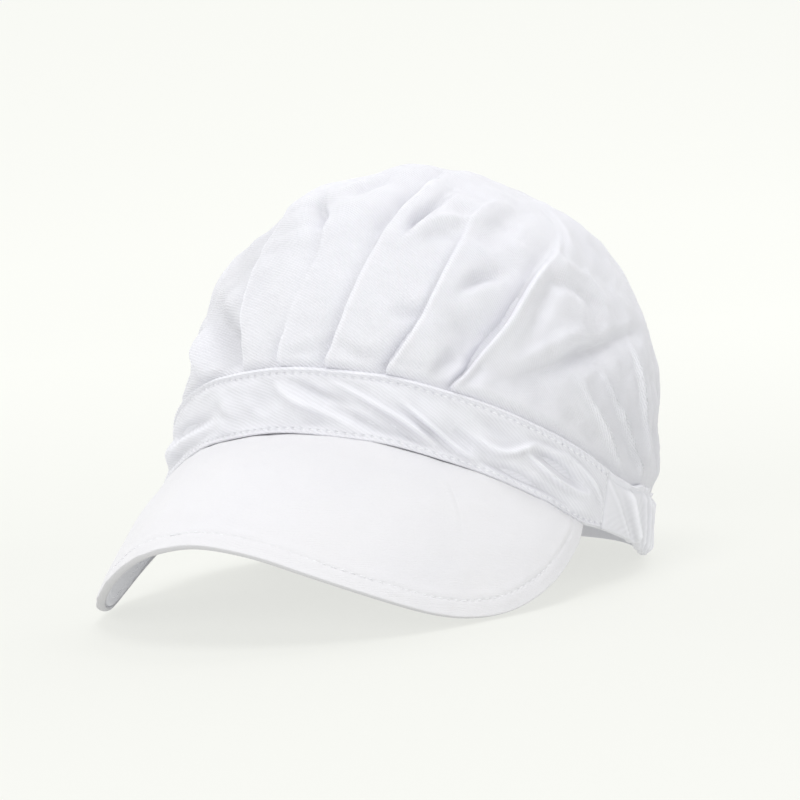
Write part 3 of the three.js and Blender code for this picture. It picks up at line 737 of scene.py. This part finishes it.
def bandSection(height):
    # a folded band's section from the foot of the outer face over the rim and down inside:
    # height above the lower edge and offset from the outer face
    thick, rimThick, foot = bandShape["thick"], bandShape["rimThick"], bandShape["foot"]
    rim = rimThick / 2
    outerUps = np.concatenate([  # points stand closer along both rows of stitches
        np.linspace(foot, 3.4, 12), np.linspace(3.8, height - 4.2, 26),
        np.linspace(height - 3.8, height - rim, 15),
    ])
    innerUps = np.linspace(height - rim, foot, 12)
    innerOffs = -(rimThick + (thick - rimThick) * smooth((height - 3 - innerUps) / 4))
    over = np.linspace(0.35, math.pi - 0.35, 6)
    inFoot, outFoot = np.linspace(1.3, 0.1, 4), np.linspace(0.1, 1.3, 4)
    ups = [outerUps, height - rim + rim * np.sin(over), innerUps]
    ups += [foot - foot * np.cos(inFoot), foot - foot * np.cos(outFoot)]
    offs = [np.zeros(len(outerUps)), -rim + rim * np.cos(over), innerOffs]
    offs += [-thick + foot - foot * np.sin(inFoot), -foot + foot * np.sin(outFoot)]
    return np.stack([np.concatenate(ups), np.concatenate(offs)], -1), len(outerUps)


def edgeRidge(distance, ridge):
    place, width, lift = ridge
    return lift * bell(distance - place, width)


def groove(distance):
    return -bandShape["grooveDepth"] * bell(distance, bandShape["grooveWidth"])


def stitchHoles(along, distance, pitch):
    # small dimples where each stitch goes through the cloth
    place = (along / pitch) % 1.0
    near = np.minimum(place, 1 - place) * pitch
    hole = bell(near, bandShape["holeLength"]) * bell(distance, bandShape["holeWidth"])
    return -bandShape["holeDepth"] * hole


def roundedEdge(distance, radius):
    # how far a face drops where it rolls over an edge of that radius
    inside = np.clip(distance, 0, radius)
    return radius - np.sqrt(np.maximum(radius**2 - (radius - inside) ** 2, 0))


def seamRoll(headings, seam):
    # both cloths dip where they are sewn together at a side seam
    away = np.abs(np.abs(turnBetween(headings, 0)) - seam) * math.radians(ringRadius)
    return bandShape["seamDepth"] * bell(away, bandShape["seamWidth"])


def bandGrid(headings, height):
    # the band's section, its number of points on the outer face, and for every heading and point the
    # share of the height and the distances in mm from the upper and the lower edge
    section, outerCount = bandSection(height)
    tall = (upperEdge(headings) - lowerEdge(headings))[:, None]
    fromLow = section[None, :, 0] * (tall / height)
    return section, outerCount, fromLow / tall, tall - fromLow, fromLow


def bandCloth(run, section):
    # the cloth laid flat: the run round the head by the run over the section
    return np.stack(np.broadcast_arrays(run[:, None], arcLengths(section)), -1)


def bandPaintedShading(plain, folds, outerCount, rimHighlight):
    # painted highlight on the wrinkles' ridges and painted shade in their furrows, and a painted highlight
    # along the rolled upper rim
    shadingValues = np.zeros(folds.shape)
    shadingValues[:, :outerCount] = standingOut(plain[:, :outerCount], folds[:, :outerCount])
    shadingValues[:, outerCount - 1:outerCount + 3] += rimHighlight
    return shadingValues


def wrinkleRelief(plain):
    lift = np.zeros(plain.shape[:-1])
    for rise, width, stations in bandShape["wrinkles"]:
        spread = width * bandShape["wrinkleSpread"]
        lift += rise * ridgeAlong(plain, stations, bandPoint, 20, spread, 1.0, bandShape["wrinkleTaper"])
    return (lift + uneven(plain, bandShape["bumps"])) * bandShape["wrinkleGain"]


def makeFrontBand():
    end = sideSeam - bandShape["seamGap"]
    rolled = end - np.array(bandShape["endRows"])
    crowding = bandShape["crowding"]  # the columns crowd toward both ends
    steps = np.linspace(-1, 1, bandShape["columns"])
    middle = (rolled[-1] - 0.1) * np.sin(steps * crowding) / math.sin(crowding)
    headings = np.concatenate([-rolled, middle, rolled[::-1]])
    section, outerCount, share, fromTop, fromLow = bandGrid(headings, bandHeight)
    fromEnd = np.radians(end - np.abs(headings))[:, None] * ringRadius
    plain = bandPoint(headings[:, None], share, 0)
    freeOver = bandShape["freeOver"]
    free = smooth((fromTop - bandShape["heldTop"]) / freeOver)
    free *= smooth((fromLow - bandShape["heldLow"]) / freeOver) * smooth(fromEnd / freeOver)
    folds = wrinkleRelief(plain) * free

    pitch = bandShape["stitchPitch"]
    topRun, lowRun = (arcLengths(bandPoint(headings, up, 0))[:, None] for up in (0.92, 0.07))
    fromTopRow, fromLowRow = fromTop - bandShape["topStitch"], fromLow - bandShape["lowStitch"]
    relief = folds + groove(fromTopRow) + groove(fromLowRow)
    relief += stitchHoles(topRun, fromTopRow, pitch) + stitchHoles(lowRun, fromLowRow, pitch)
    pinch, place, width = bandShape["rimPinch"]
    relief += pinch * np.sin(2 * np.pi * topRun / pitch) * bell(fromTop - place, width)
    relief += edgeRidge(fromTop, bandShape["rim"]) + edgeRidge(fromLow, bandShape["lowRim"])
    relief += edgeRidge(fromEnd, bandShape["endRim"])
    relief[:, outerCount:] = 0
    points = bandPoint(headings[:, None], share, section[:, 1] + relief - seamRoll(headings, end)[:, None])
    # painted highlight on wrinkle ridges and the upper rim, painted shade in the furrows
    shadingValues = bandPaintedShading(plain, folds, outerCount, bandShape["rimHighlight"])
    faces = closedLoops(points)
    cloth = bandCloth(topRun[:, 0], section)
    piece = meshPiece(
        "front_band_cloth", points, faces, materials["band"], cloth, "front_band", shadingValues)
    print("front band:", len(faces), "faces")


makeFrontBand()


# The back casing
casingShape = {
    "columns": 636, "gathers": 30, "crestPower": 4.0, "puff": 0.3, "gatherLift": 2.0, "innerLift": 0.5,
    "heldShare": 0.35, "takeUp": 1.25, "fineGathers": 97, "fineLift": 0.08,
    "ripple": 0.35, "hemRipple": 0.45,  # mm up and down at the upper and at the lower edge
    "inward": 1.7, "inwardFrom": 12, "inwardOver": 15,  # the elastic draws it in, away from the side seams
    "lean": 13, "leanFades": 40, "sway": 0.9,
    "topStitch": 2.1, "stitchPitch": 3.0, "grooveDepth": 0.4, "grooveWidth": 0.5,
    # the rim's ridge, then the strength of the painted highlight along it
    "rim": (0.8, 0.5, 0.3), "rimHighlight": 0.6, "bumps": [(14, 33, 0.12)],
    # heading and rise in mm of the upper edge
    "topSway": [
        (77, 0), (84, -0.4), (90, 0.3), (97, 0.9), (101, 0.9), (105.5, -0.6), (110, -0.8), (118, 0), (283, 0),
    ],
    "flatSize": (0.4, 0.0225),
}


def casingWave(headings):
    return gatherTurns(headings, casingShape["gathers"], sideSeam + 1, 31)


def casingFolds(wave, share, free):
    # how far the gathers stand out, less where the stitches hold them down
    shadingValues = np.clip(0.5 + 0.5 * wave, 0, 1.05) ** casingShape["crestPower"]
    puffed = casingShape["puff"] * np.sin(np.pi * np.clip(share, 0, 1))
    kept = casingShape["heldShare"]
    return puffed + casingShape["gatherLift"] * shadingValues * (kept + (1 - kept) * free)


def drawnIn(headings):
    fromSeam = np.minimum(headings, 360 - headings) - sideSeam
    return casingShape["inward"] * smooth((fromSeam - casingShape["inwardFrom"]) / casingShape["inwardOver"])


def makeCasing():
    start = sideSeam + bandShape["seamGap"]
    rolled = start + np.array(bandShape["endRows"])
    middle = np.linspace(rolled[-1] + 0.25, 359.75 - rolled[-1], casingShape["columns"])
    headings = np.concatenate([rolled, middle, (360 - rolled)[::-1]])
    section, outerCount, share, fromTop, fromLow = bandGrid(headings, casingHeight)
    grid = headings[:, None]
    plain = bandPoint(grid, share, 0)
    fromSeam = np.minimum(grid, 360 - grid) - sideSeam
    lean = casingShape["lean"] * (share - 0.5) * np.exp(-fromSeam / casingShape["leanFades"])
    lean = np.where(grid < 180, lean, -lean) + casingShape["sway"] * np.sin(share * 5 + grid * 0.13)
    wave = casingWave(grid + lean)
    fine = gatherTurns(grid - lean, casingShape["fineGathers"], sideSeam + 1, 37)
    fromRow = fromTop - casingShape["topStitch"]
    free = smooth(fromRow / bandShape["freeOver"]) * smooth(fromLow / 2.5)
    folds = casingFolds(wave, share, free) + casingShape["fineLift"] * fine * free
    relief = folds + edgeRidge(fromTop, casingShape["rim"])
    relief -= casingShape["grooveDepth"] * bell(fromRow, casingShape["grooveWidth"])
    relief += uneven(plain, casingShape["bumps"])
    calm = smooth((grid - start) / 2.5) * smooth((360 - start - grid) / 2.5)
    relief = relief * calm * smooth(np.minimum(fromTop, fromLow) / 0.8) - seamRoll(headings, start)[:, None]
    inside = -casingShape["innerLift"] * np.abs(wave) * calm * np.sin(np.pi * np.clip(share, 0, 1))
    relief[:, outerCount:] = inside[:, outerCount:]
    points = bandPoint(grid, share, section[:, 1] + relief - drawnIn(grid))

    ripple = casingShape["ripple"] * wave * smooth((share - 0.5) / 0.5) * calm
    hem = casingShape["hemRipple"] * wave * (1 - smooth(share / 0.3)) * calm
    hem *= smooth((lowerEdge(grid) - 0.5) / 3)  # it lies flat where the cap rests on it
    sway = np.interp(grid, *np.array(casingShape["topSway"]).T) * smooth((share - 0.4) / 0.6)
    points[..., 2] = np.maximum(points[..., 2] + ripple + hem + sway, 0.0)
    faces = closedLoops(points)
    cloth = bandCloth(arcLengths(bandPoint(headings, 0.5, 0)) * casingShape["takeUp"], section)
    # painted highlight on the gathers' ridges and the rim, painted shade between the gathers
    shadingValues = bandPaintedShading(plain, folds, outerCount, casingShape["rimHighlight"])
    piece = meshPiece(
        "back_casing_cloth", points, faces, materials["casing"], cloth, "back_casing", shadingValues)
    print("back casing:", len(faces), "faces")


makeCasing()


# The visor
visorShape = {
    # the outline by its bearing round a centre: sums of cosines for its radius and height in mm
    "centreY": -50.2, "endHeading": 71.3, "endBearing": 105.2, "endShare": 0.99,
    "radius": (83.0, 8.7, 3.4, 2.9), "height": (21.1, -11.0, 10.3, 8.25, 2.0),
    "farTipFlare": 2.6, "farTipBearing": -72, "farTipSpread": 22,
    # how the worn outline departs from the cut one: bearing, further out and higher in mm
    "wearAndShade": [
        (-105, -0.8, 0), (-85, 0, 0.4), (-60, 0.6, 0.8), (-45, 1.6, 1.6), (-30, 1.8, 1.2), (-14, 1.2, 2.2),
        (-4, 0, 2.2), (8, 0, 1.0), (22, 0, -0.3), (40, -0.2, 0.4), (55, -0.2, 0.5), (70, 0.6, -0.2),
        (85, 1.4, -0.8), (98, 1.2, -0.8), (105, 0.5, -0.3),
    ],
    # the bulge in mm between band and edge, where the visor is bulgeLength long, and its direction
    "bulge": 4.0, "bulgeLength": 60, "bulgeOut": 0.8, "bulgeUp": 0.6,
    "columns": 480, "gap": 0.04, "thick": 3.0, "topCloth": 1.5, "lipIn": 1.9,
    # the last value on the next line is the strength of the painted shade on the rolled edge
    "wrap": 2.0, "edgeRadius": 0.55, "underRadius": 1.7, "underRows": 70, "edgeShade": 1.5,
    "stitchIn": 5.5, "stitchPitch": 3.1, "grooveShare": 0.4, "holeShare": 0.45,
    # ridges along the hem on top and under the visor: distance from the edge, half width and lift in mm
    "hemRidges": [(3.6, 1.4, 0.1), (7.2, 1.3, 0.16)], "underRidge": (0.9, 0.5, 0.35),
    "broadBumps": [(30, 41, 0.22)], "fineBumps": [(9, 42, 0.07)], "underBumps": [(16, 44, 0.12)],
    # the faint crease: stations from side to side (-1 to 1) and from the band to the edge (0 to 1)
    "crease": [(0.49, 0.03), (0.52, 0.17), (0.53, 0.3), (0.53, 0.42), (0.53, 0.672)], "creaseDepth": 0.16,
    "flatSize": (0.21, 0.125), "flatArea": 0.0155,
}


def waveSum(terms, turn):
    return sum(term * np.cos(k * turn) for k, term in enumerate(terms))


def outlinePoint(bearing):
    turn = np.radians(bearing)
    wearAndShade = np.array(visorShape["wearAndShade"], float)
    away = bearing - visorShape["farTipBearing"]
    flare = visorShape["farTipFlare"] * bell(away, visorShape["farTipSpread"])
    radius = waveSum(visorShape["radius"], turn) + flare + curveThrough(wearAndShade[:, 0], wearAndShade[:, 1], bearing)
    height = waveSum(visorShape["height"], turn) + curveThrough(wearAndShade[:, 0], wearAndShade[:, 2], bearing)
    return np.stack([radius * np.sin(turn), visorShape["centreY"] - radius * np.cos(turn), height], -1)


def visorFace(side, share):
    # a place on the visor: from its right end to its left one (-1 to 1) and from the band to the edge
    heading = side * visorShape["endHeading"]
    turn = np.radians(heading)
    atBand = bandPoint(heading, 0, 0)
    outward = outlinePoint(side * visorShape["endBearing"]) - atBand
    length = np.linalg.norm(outward, axis=-1)
    bulge = visorShape["bulge"] * 4 * share * (1 - share) * length / visorShape["bulgeLength"]
    out, up = visorShape["bulgeOut"], np.full_like(turn, visorShape["bulgeUp"])
    push = np.stack([out * np.sin(turn), -out * np.cos(turn), up], -1)
    sunk = np.array([0, 0, visorShape["gap"]])
    return atBand + outward * share[..., None] + push * bulge[..., None] - sunk


def visorNormal(side, share):
    step = 0.01
    across = visorFace(side + step, share) - visorFace(side - step, share)
    outward = visorFace(side, share + step) - visorFace(side, share - step)
    normal = np.cross(outward, across)
    return normal / np.linalg.norm(normal, axis=-1)[..., None]


def edgeDistance(points, count):
    # distance to the visor's outline, as a line of count points
    edge = visorFace(np.linspace(-1, 1, count), np.ones(count))
    flat = points.reshape(-1, 3)
    best = np.full(len(flat), 1e9)
    for start, step in zip(edge, np.diff(edge, axis=0)):
        toPoint = flat - start
        share = np.clip(toPoint @ step / (step @ step), 0, 1)
        best = np.minimum(best, np.linalg.norm(toPoint - share[:, None] * step, axis=1))
    return best.reshape(points.shape[:-1])


def visorGrid(sides, shares):
    side = sides[:, None]
    points = visorFace(side, shares)
    return points, visorNormal(side, np.clip(shares, 0.02, 0.98)), edgeDistance(points, 130)


def hemSeam():
    # the line of stitches along the visor's hem: sides, points and normals
    sides, shares = np.linspace(-0.975, 0.975, 700), np.linspace(0.5, 1.0, 60)
    past = edgeDistance(visorFace(sides[:, None], shares), 260) - visorShape["stitchIn"]
    found = []
    for side, row in zip(sides, past):
        inside = np.flatnonzero(row > 0)
        if len(inside) and inside[-1] + 1 < len(shares):
            j = inside[-1]
            found.append((side, shares[j] + row[j] / (row[j] - row[j + 1]) * (shares[j + 1] - shares[j])))
    sides, shares = np.array(found).T
    return sides, visorFace(sides, shares), visorNormal(sides, shares)


def visorCloth(points):
    # the visor laid flat, from the run across each row and the run out from the band
    across = np.cumsum(np.linalg.norm(np.diff(points, axis=0, prepend=points[:1]), axis=-1), axis=0)
    across -= across[len(across) // 2]
    outward = np.cumsum(np.linalg.norm(np.diff(points, axis=1, prepend=points[:, :1]), axis=-1), axis=1)
    return np.stack([across, outward], -1)


hemLine = hemSeam()


def visorRelief(sides, points, distance):
    # how far the top cloth stands off the plain visor: rolled edge, stitched hem, rumples and one crease
    fromRow = distance - visorShape["stitchIn"]
    hemRun = np.interp(sides, hemLine[0], arcLengths(hemLine[1]))[:, None]
    relief = visorShape["grooveShare"] * groove(fromRow * 1.1)
    relief -= roundedEdge(distance, visorShape["edgeRadius"])
    relief += visorShape["holeShare"] * stitchHoles(hemRun, fromRow, visorShape["stitchPitch"])
    for ridge in visorShape["hemRidges"]:
        relief += edgeRidge(distance, ridge)
    relief += uneven(points, visorShape["broadBumps"]) * smooth(distance / 8)
    relief += uneven(points, visorShape["fineBumps"])
    crease = lineThrough(visorShape["crease"], lambda side, share, out: visorFace(side, share), 16)
    across, along = besideLine(points, crease, 8)
    pressed = bell(across, 0.6) - 0.5 * bell(across - 1.4, 1.2)
    return relief - visorShape["creaseDepth"] * np.sin(np.pi * np.clip(along, 0, 1)) * pressed


def makeVisorTop():
    sides = np.linspace(-1, 1, visorShape["columns"])
    sides = np.sign(sides) * (1 - (1 - np.abs(sides)) ** 1.15) * visorShape["endShare"]
    shares = np.concatenate([np.linspace(0, 0.8, 40, endpoint=False), 1 - 0.2 * np.linspace(1, 0, 72) ** 1.2])
    points, normal, topDistance = visorGrid(sides, shares)
    top = points + normal * visorRelief(sides, points, topDistance)[..., None]

    # the cloth wraps round the edge and ends on the underside
    backShares = np.concatenate([shares[:40:2], shares[40::3], [1.0]])[::-1]
    points, normal, distance = visorGrid(sides, backShares)
    wrapped = smooth((visorShape["wrap"] - distance) / 0.5)
    turnUp = visorShape["thick"] - visorShape["topCloth"] - roundedEdge(distance, visorShape["underRadius"])
    bottom = points - normal * (visorShape["topCloth"] + turnUp * wrapped)[..., None]
    lip = bandPoint(sides * visorShape["endHeading"], 0, -visorShape["lipIn"])
    lip -= np.array([0, 0, visorShape["gap"]])
    loops = np.concatenate([lip[:, None], top, bottom], 1)
    loops[..., 2] = np.maximum(loops[..., 2], 0.0)

    # painted shade on the rolled edge: the top face's last fraction of a mm and the wrapped strip under it
    shadedEdge = np.concatenate([1 - smooth(topDistance / 0.35), 1 - smooth((distance - 1.2) / 0.6)], 1)
    shades = np.pad(-visorShape["edgeShade"] * shadedEdge, ((0, 0), (1, 0)))
    piece = meshPiece(
        "visor_top_cloth", loops, closedLoops(loops), materials["visor"], visorCloth(loops),
        "visor_top", shades)
    return sides


def makeVisorUnder(sides):
    # the under cloth stops short of the top cloth's wrapped edge
    points, normal, distance = visorGrid(sides, np.linspace(0, 1, visorShape["underRows"]))
    pastWrap = distance - visorShape["wrap"]
    towardBand = visorFace(sides[:, None], np.zeros(visorShape["underRows"])) - points
    towardBand /= np.maximum(np.linalg.norm(towardBand, axis=-1), 1e-6)[..., None]
    inward = points + towardBand * np.clip(-pastWrap, 0, None)[..., None]
    pulled = np.clip(pastWrap, 0, 1)
    upper, lowest = visorShape["topCloth"] + 0.3, visorShape["thick"] + 0.1
    lower = lowest - (lowest - upper - 0.35) * (1 - np.sqrt(pulled))
    lower += uneven(points, visorShape["underBumps"]) * pulled + edgeRidge(pastWrap, visorShape["underRidge"])
    faceDown = inward - normal * lower[..., None]
    faceUp = (inward - normal * upper)[:, ::-1]
    loops = np.concatenate([faceDown, faceUp], 1)
    loops[..., 2] = np.maximum(loops[..., 2], 0.15)
    faces = [face[::-1] for face in closedLoops(loops)]
    piece = meshPiece(
        "visor_under_cloth", loops, faces, materials["visorUnder"], visorCloth(loops),
        "visor_under")


makeVisorUnder(makeVisorTop()[::2])
print("visor ready")


# The stitches
# lengths and radii of the threads in mm, how far a stitch bows out of the cloth and how deep its ends are
stitches = {
    "band": {"length": 2.1, "radius": 0.14, "rise": 0.02, "sink": 0.4},
    "seam": {"length": 1.8, "radius": 0.13, "rise": 0.04, "sink": 0.3},
    "visor": {"length": 2.2, "radius": 0.14, "rise": 0.1, "sink": 0.3},
    "visorUnder": {"length": 2.0, "radius": 0.2, "rise": 0.2, "sink": 0.3},
    "casing": {"length": 2.0, "radius": 0.13, "rise": 0.04, "sink": 0.3},
    "seamPitch": 2.6, "rings": 7, "spokes": 6,
}


def stitchRow(name, points, normals, pitch, thread, slotName):
    # each stitch is a short thread that bows out of the cloth and dives in at both ends
    rings, spokes = stitches["rings"], stitches["spokes"]
    run = arcLengths(points)
    steps = np.linspace(-0.5, 0.5, rings)
    bow = 1 - (2 * np.linspace(0, 1, rings) - 1) ** 2
    depth = thread["rise"] * bow - thread["sink"] * (1 - bow)
    size = thread["radius"] * (0.7 + 0.3 * bow)[:, None, None]
    turns = np.linspace(0, 2 * np.pi, spokes, endpoint=False)[None, :, None]
    template = tubeFaces(rings, spokes)
    tubes, faces = [], []
    for place in np.arange(0.5 * pitch, run[-1] - 0.3 * pitch, pitch):
        first = len(tubes) * rings * spokes
        where = place + rng.uniform(-0.08, 0.08) * pitch + steps * thread["length"] * rng.uniform(0.94, 1.04)
        centre = np.stack([np.interp(where, run, column) for column in points.T], -1)
        normal = np.stack([np.interp(where, run, column) for column in normals.T], -1)
        normal /= np.linalg.norm(normal, axis=1)[:, None]
        centre += normal * depth[:, None]
        forward = np.gradient(centre, axis=0)
        forward /= np.linalg.norm(forward, axis=1)[:, None]
        sideways = np.cross(forward, normal)
        spread = np.cos(turns) * normal[:, None] + np.sin(turns) * sideways[:, None]
        tubes.append(centre[:, None] + size * spread)
        faces += [[first + corner for corner in face] for face in template]
    return meshPiece(name, np.concatenate(tubes), faces, materials["thread"])


def overBand(headings, up, low, high):
    # a line on the band from low to high off its face, and the way out of the cloth
    points = bandPoint(headings, up, low)
    return points, bandPoint(headings, up, high) - points


def makeStitches():
    end = sideSeam - 1.2
    headings = np.linspace(-end, end, 500)
    upperUp, lowerUp = 1 - bandShape["topStitch"] / bandHeight, bandShape["lowStitch"] / bandHeight
    for name, up in (("band_top_stitches", upperUp), ("band_low_stitches", lowerUp)):
        line = overBand(headings, up, -0.2, 0.8)
        stitchRow(name, *line, bandShape["stitchPitch"], stitches["band"], "band_cloth")
    seam, ups = np.full(60, sideSeam - 0.5), np.linspace(0.06, 0.94, 60)
    for name, headings in (("side_seam_stitches_left", seam), ("side_seam_stitches_right", -seam)):
        line = overBand(headings, ups, 0.02, 1.0)
        stitchRow(name, *line, stitches["seamPitch"], stitches["seam"], "band_cloth")

    _, line, normals = hemLine
    pitch = visorShape["stitchPitch"]
    stitchRow("visor_stitches", line - 0.1 * normals, normals, pitch, stitches["visor"], "visor_cloth")
    under = line - normals * (visorShape["thick"] - 0.08)
    stitchRow("visor_under_stitches", under, -normals, pitch, stitches["visorUnder"], "visor_under_cloth")

    start = sideSeam + 2
    headings = np.linspace(start, 360 - start, 640)
    up = 1 - casingShape["topStitch"] / casingHeight
    low = casingFolds(casingWave(headings), up, 0) - 0.5 - drawnIn(headings)
    line = overBand(headings, up, low, low + 1)
    stitchRow("casing_top_stitches", *line, casingShape["stitchPitch"], stitches["casing"], "casing_cloth")
    print("stitches ready")


makeStitches()


# The studio
studio = {
    "paper": (0.992, 1.0, 0.957), "paperShade": 0.2, "glow": 0.67, "farGlow": 0.792,
    "glowFrom": 0.2, "glowTo": 1.6,  # m from the cap, between which the glow grows
    "worldColour": (1.0, 1.0, 1.0), "worldLight": 0.43, "lightsAimAt": (0, 0.01, 0.07),
    # the floor from the middle out, in m: it is wide, and curves up into a wall behind the cap
    "nearEdge": -6, "bendFrom": 1.2, "bendRadius": 1.2, "wallHeight": 5, "halfWidth": 7,
    # name: heading of the light round the cap from the front, elevation, distance, size in m, power in W
    "lights": [
        ("top", 0, 82, 1.6, 1.0, 9.3),
        ("front", 0, 20, 1.6, 1.0, 8.2),
        ("frontRight", 60, 5, 1.6, 1.0, 3.6),
        ("left", -90, 20, 1.6, 1.0, 4.2),
        ("right", 100, 30, 1.6, 1.0, 3.6),
        ("back", 180, 45, 1.6, 1.0, 6.2),
    ],
}
view = {
    "azimuth": 27.76, "elevation": 5.27, "roll": -3.92, "distance": 1.0624, "pivotHeight": 0.06,
    "pixelsPerMetre": 2831.5, "photoWidth": 800, "right": 10.6, "down": 4.2, "sensorWidth": 36,
}


def paperMaterial():
    # the paper glows a little, and more far from the cap
    material, tree, shader = newMaterial("studio_paper", 0.9, 0.1)
    place = addNode(tree, "TexCoord", {}).outputs["Object"]
    noise = addNode(tree, "TexNoise", {"Vector": place, "Scale": 0.6}).outputs["Fac"]
    paper, shade = studio["paper"], studio["paperShade"]
    tone = mixColours(tree, noise, solidColour(paper, shade * 0.99), solidColour(paper, shade))
    away = addNode(tree, "VectorMath", {0: place}, operation="LENGTH").outputs["Value"]
    glow = addNode(tree, "MapRange", {
        "Value": away, "From Min": studio["glowFrom"], "From Max": studio["glowTo"],
        "To Min": studio["glow"], "To Max": studio["farGlow"],
    })
    setInputs(tree, shader, {
        "Base Color": tone, "Emission Color": solidColour(paper), "Emission Strength": glow.outputs["Result"],
    })
    return material


def makeFloor():
    bendFrom, radius, width = studio["bendFrom"], studio["bendRadius"], studio["halfWidth"]
    profile = [(studio["nearEdge"], 0), (bendFrom, 0)]
    for turn in np.linspace(0.1, math.pi / 2, 16):
        profile.append((bendFrom + radius * math.sin(turn), radius - radius * math.cos(turn)))
    profile.append((bendFrom + radius, studio["wallHeight"]))
    facing = Matrix.Rotation(math.radians(view["azimuth"]), 3, "Z")
    points = [facing @ Vector((x, y, z)) for x in (-width, width) for y, z in profile]
    mesh = bpy.data.meshes.new("studio_floor")
    n = len(profile)
    mesh.from_pydata(points, [], [[i, i + 1, n + i + 1, n + i] for i in range(n - 1)])
    mesh.polygons.foreach_set("use_smooth", np.ones(n - 1, dtype=bool))
    mesh.materials.append(paperMaterial())
    floor = bpy.data.objects.new("studio_floor", mesh)
    bpy.context.scene.collection.objects.link(floor)


def directionTo(heading, elevation):
    # toward a light or the camera: heading round the cap from the front and elevation, in degrees
    turn, climb = math.radians(heading), math.radians(elevation)
    return Vector((math.sin(turn) * math.cos(climb), -math.cos(turn) * math.cos(climb), math.sin(climb)))


def makeCamera():
    azimuth, roll = math.radians(view["azimuth"]), math.radians(view["roll"])
    back = directionTo(view["azimuth"], view["elevation"])
    right = Vector((math.cos(azimuth), math.sin(azimuth), 0))
    up = back.cross(right)
    rolledRight = right * math.cos(roll) + up * math.sin(roll)
    rolledUp = up * math.cos(roll) - right * math.sin(roll)
    data = bpy.data.cameras.new("camera")
    data.sensor_width = view["sensorWidth"]
    data.lens = view["pixelsPerMetre"] * view["distance"] * view["sensorWidth"] / view["photoWidth"]
    data.shift_x = -view["right"] / view["photoWidth"]
    data.shift_y = view["down"] / view["photoWidth"]
    data.clip_end = 50
    camera = bpy.data.objects.new("camera", data)
    bpy.context.scene.collection.objects.link(camera)
    place = Vector((0, ringShift * mm, view["pivotHeight"])) + back * view["distance"]
    axes = Matrix((rolledRight, rolledUp, back)).transposed()
    camera.matrix_world = Matrix.Translation(place) @ axes.to_4x4()
    bpy.context.scene.camera = camera


def makeLights():
    for name, heading, elevation, distance, size, power in studio["lights"]:
        toward = directionTo(heading, elevation)
        data = bpy.data.lights.new(name, "AREA")
        data.shape = "DISK"
        data.size = size
        data.energy = power
        light = bpy.data.objects.new(name, data)
        light.location = Vector(studio["lightsAimAt"]) + toward * distance
        light.rotation_euler = toward.to_track_quat("Z", "Y").to_euler()
        bpy.context.scene.collection.objects.link(light)
    world = bpy.data.worlds.new("studio")
    world.use_nodes = True
    background = world.node_tree.nodes["Background"]
    background.inputs["Color"].default_value = solidColour(studio["worldColour"])
    background.inputs["Strength"].default_value = studio["worldLight"]
    bpy.context.scene.world = world
    bpy.context.scene.view_settings.view_transform = "Standard"


makeFloor()
makeCamera()
makeLights()
print("studio ready")
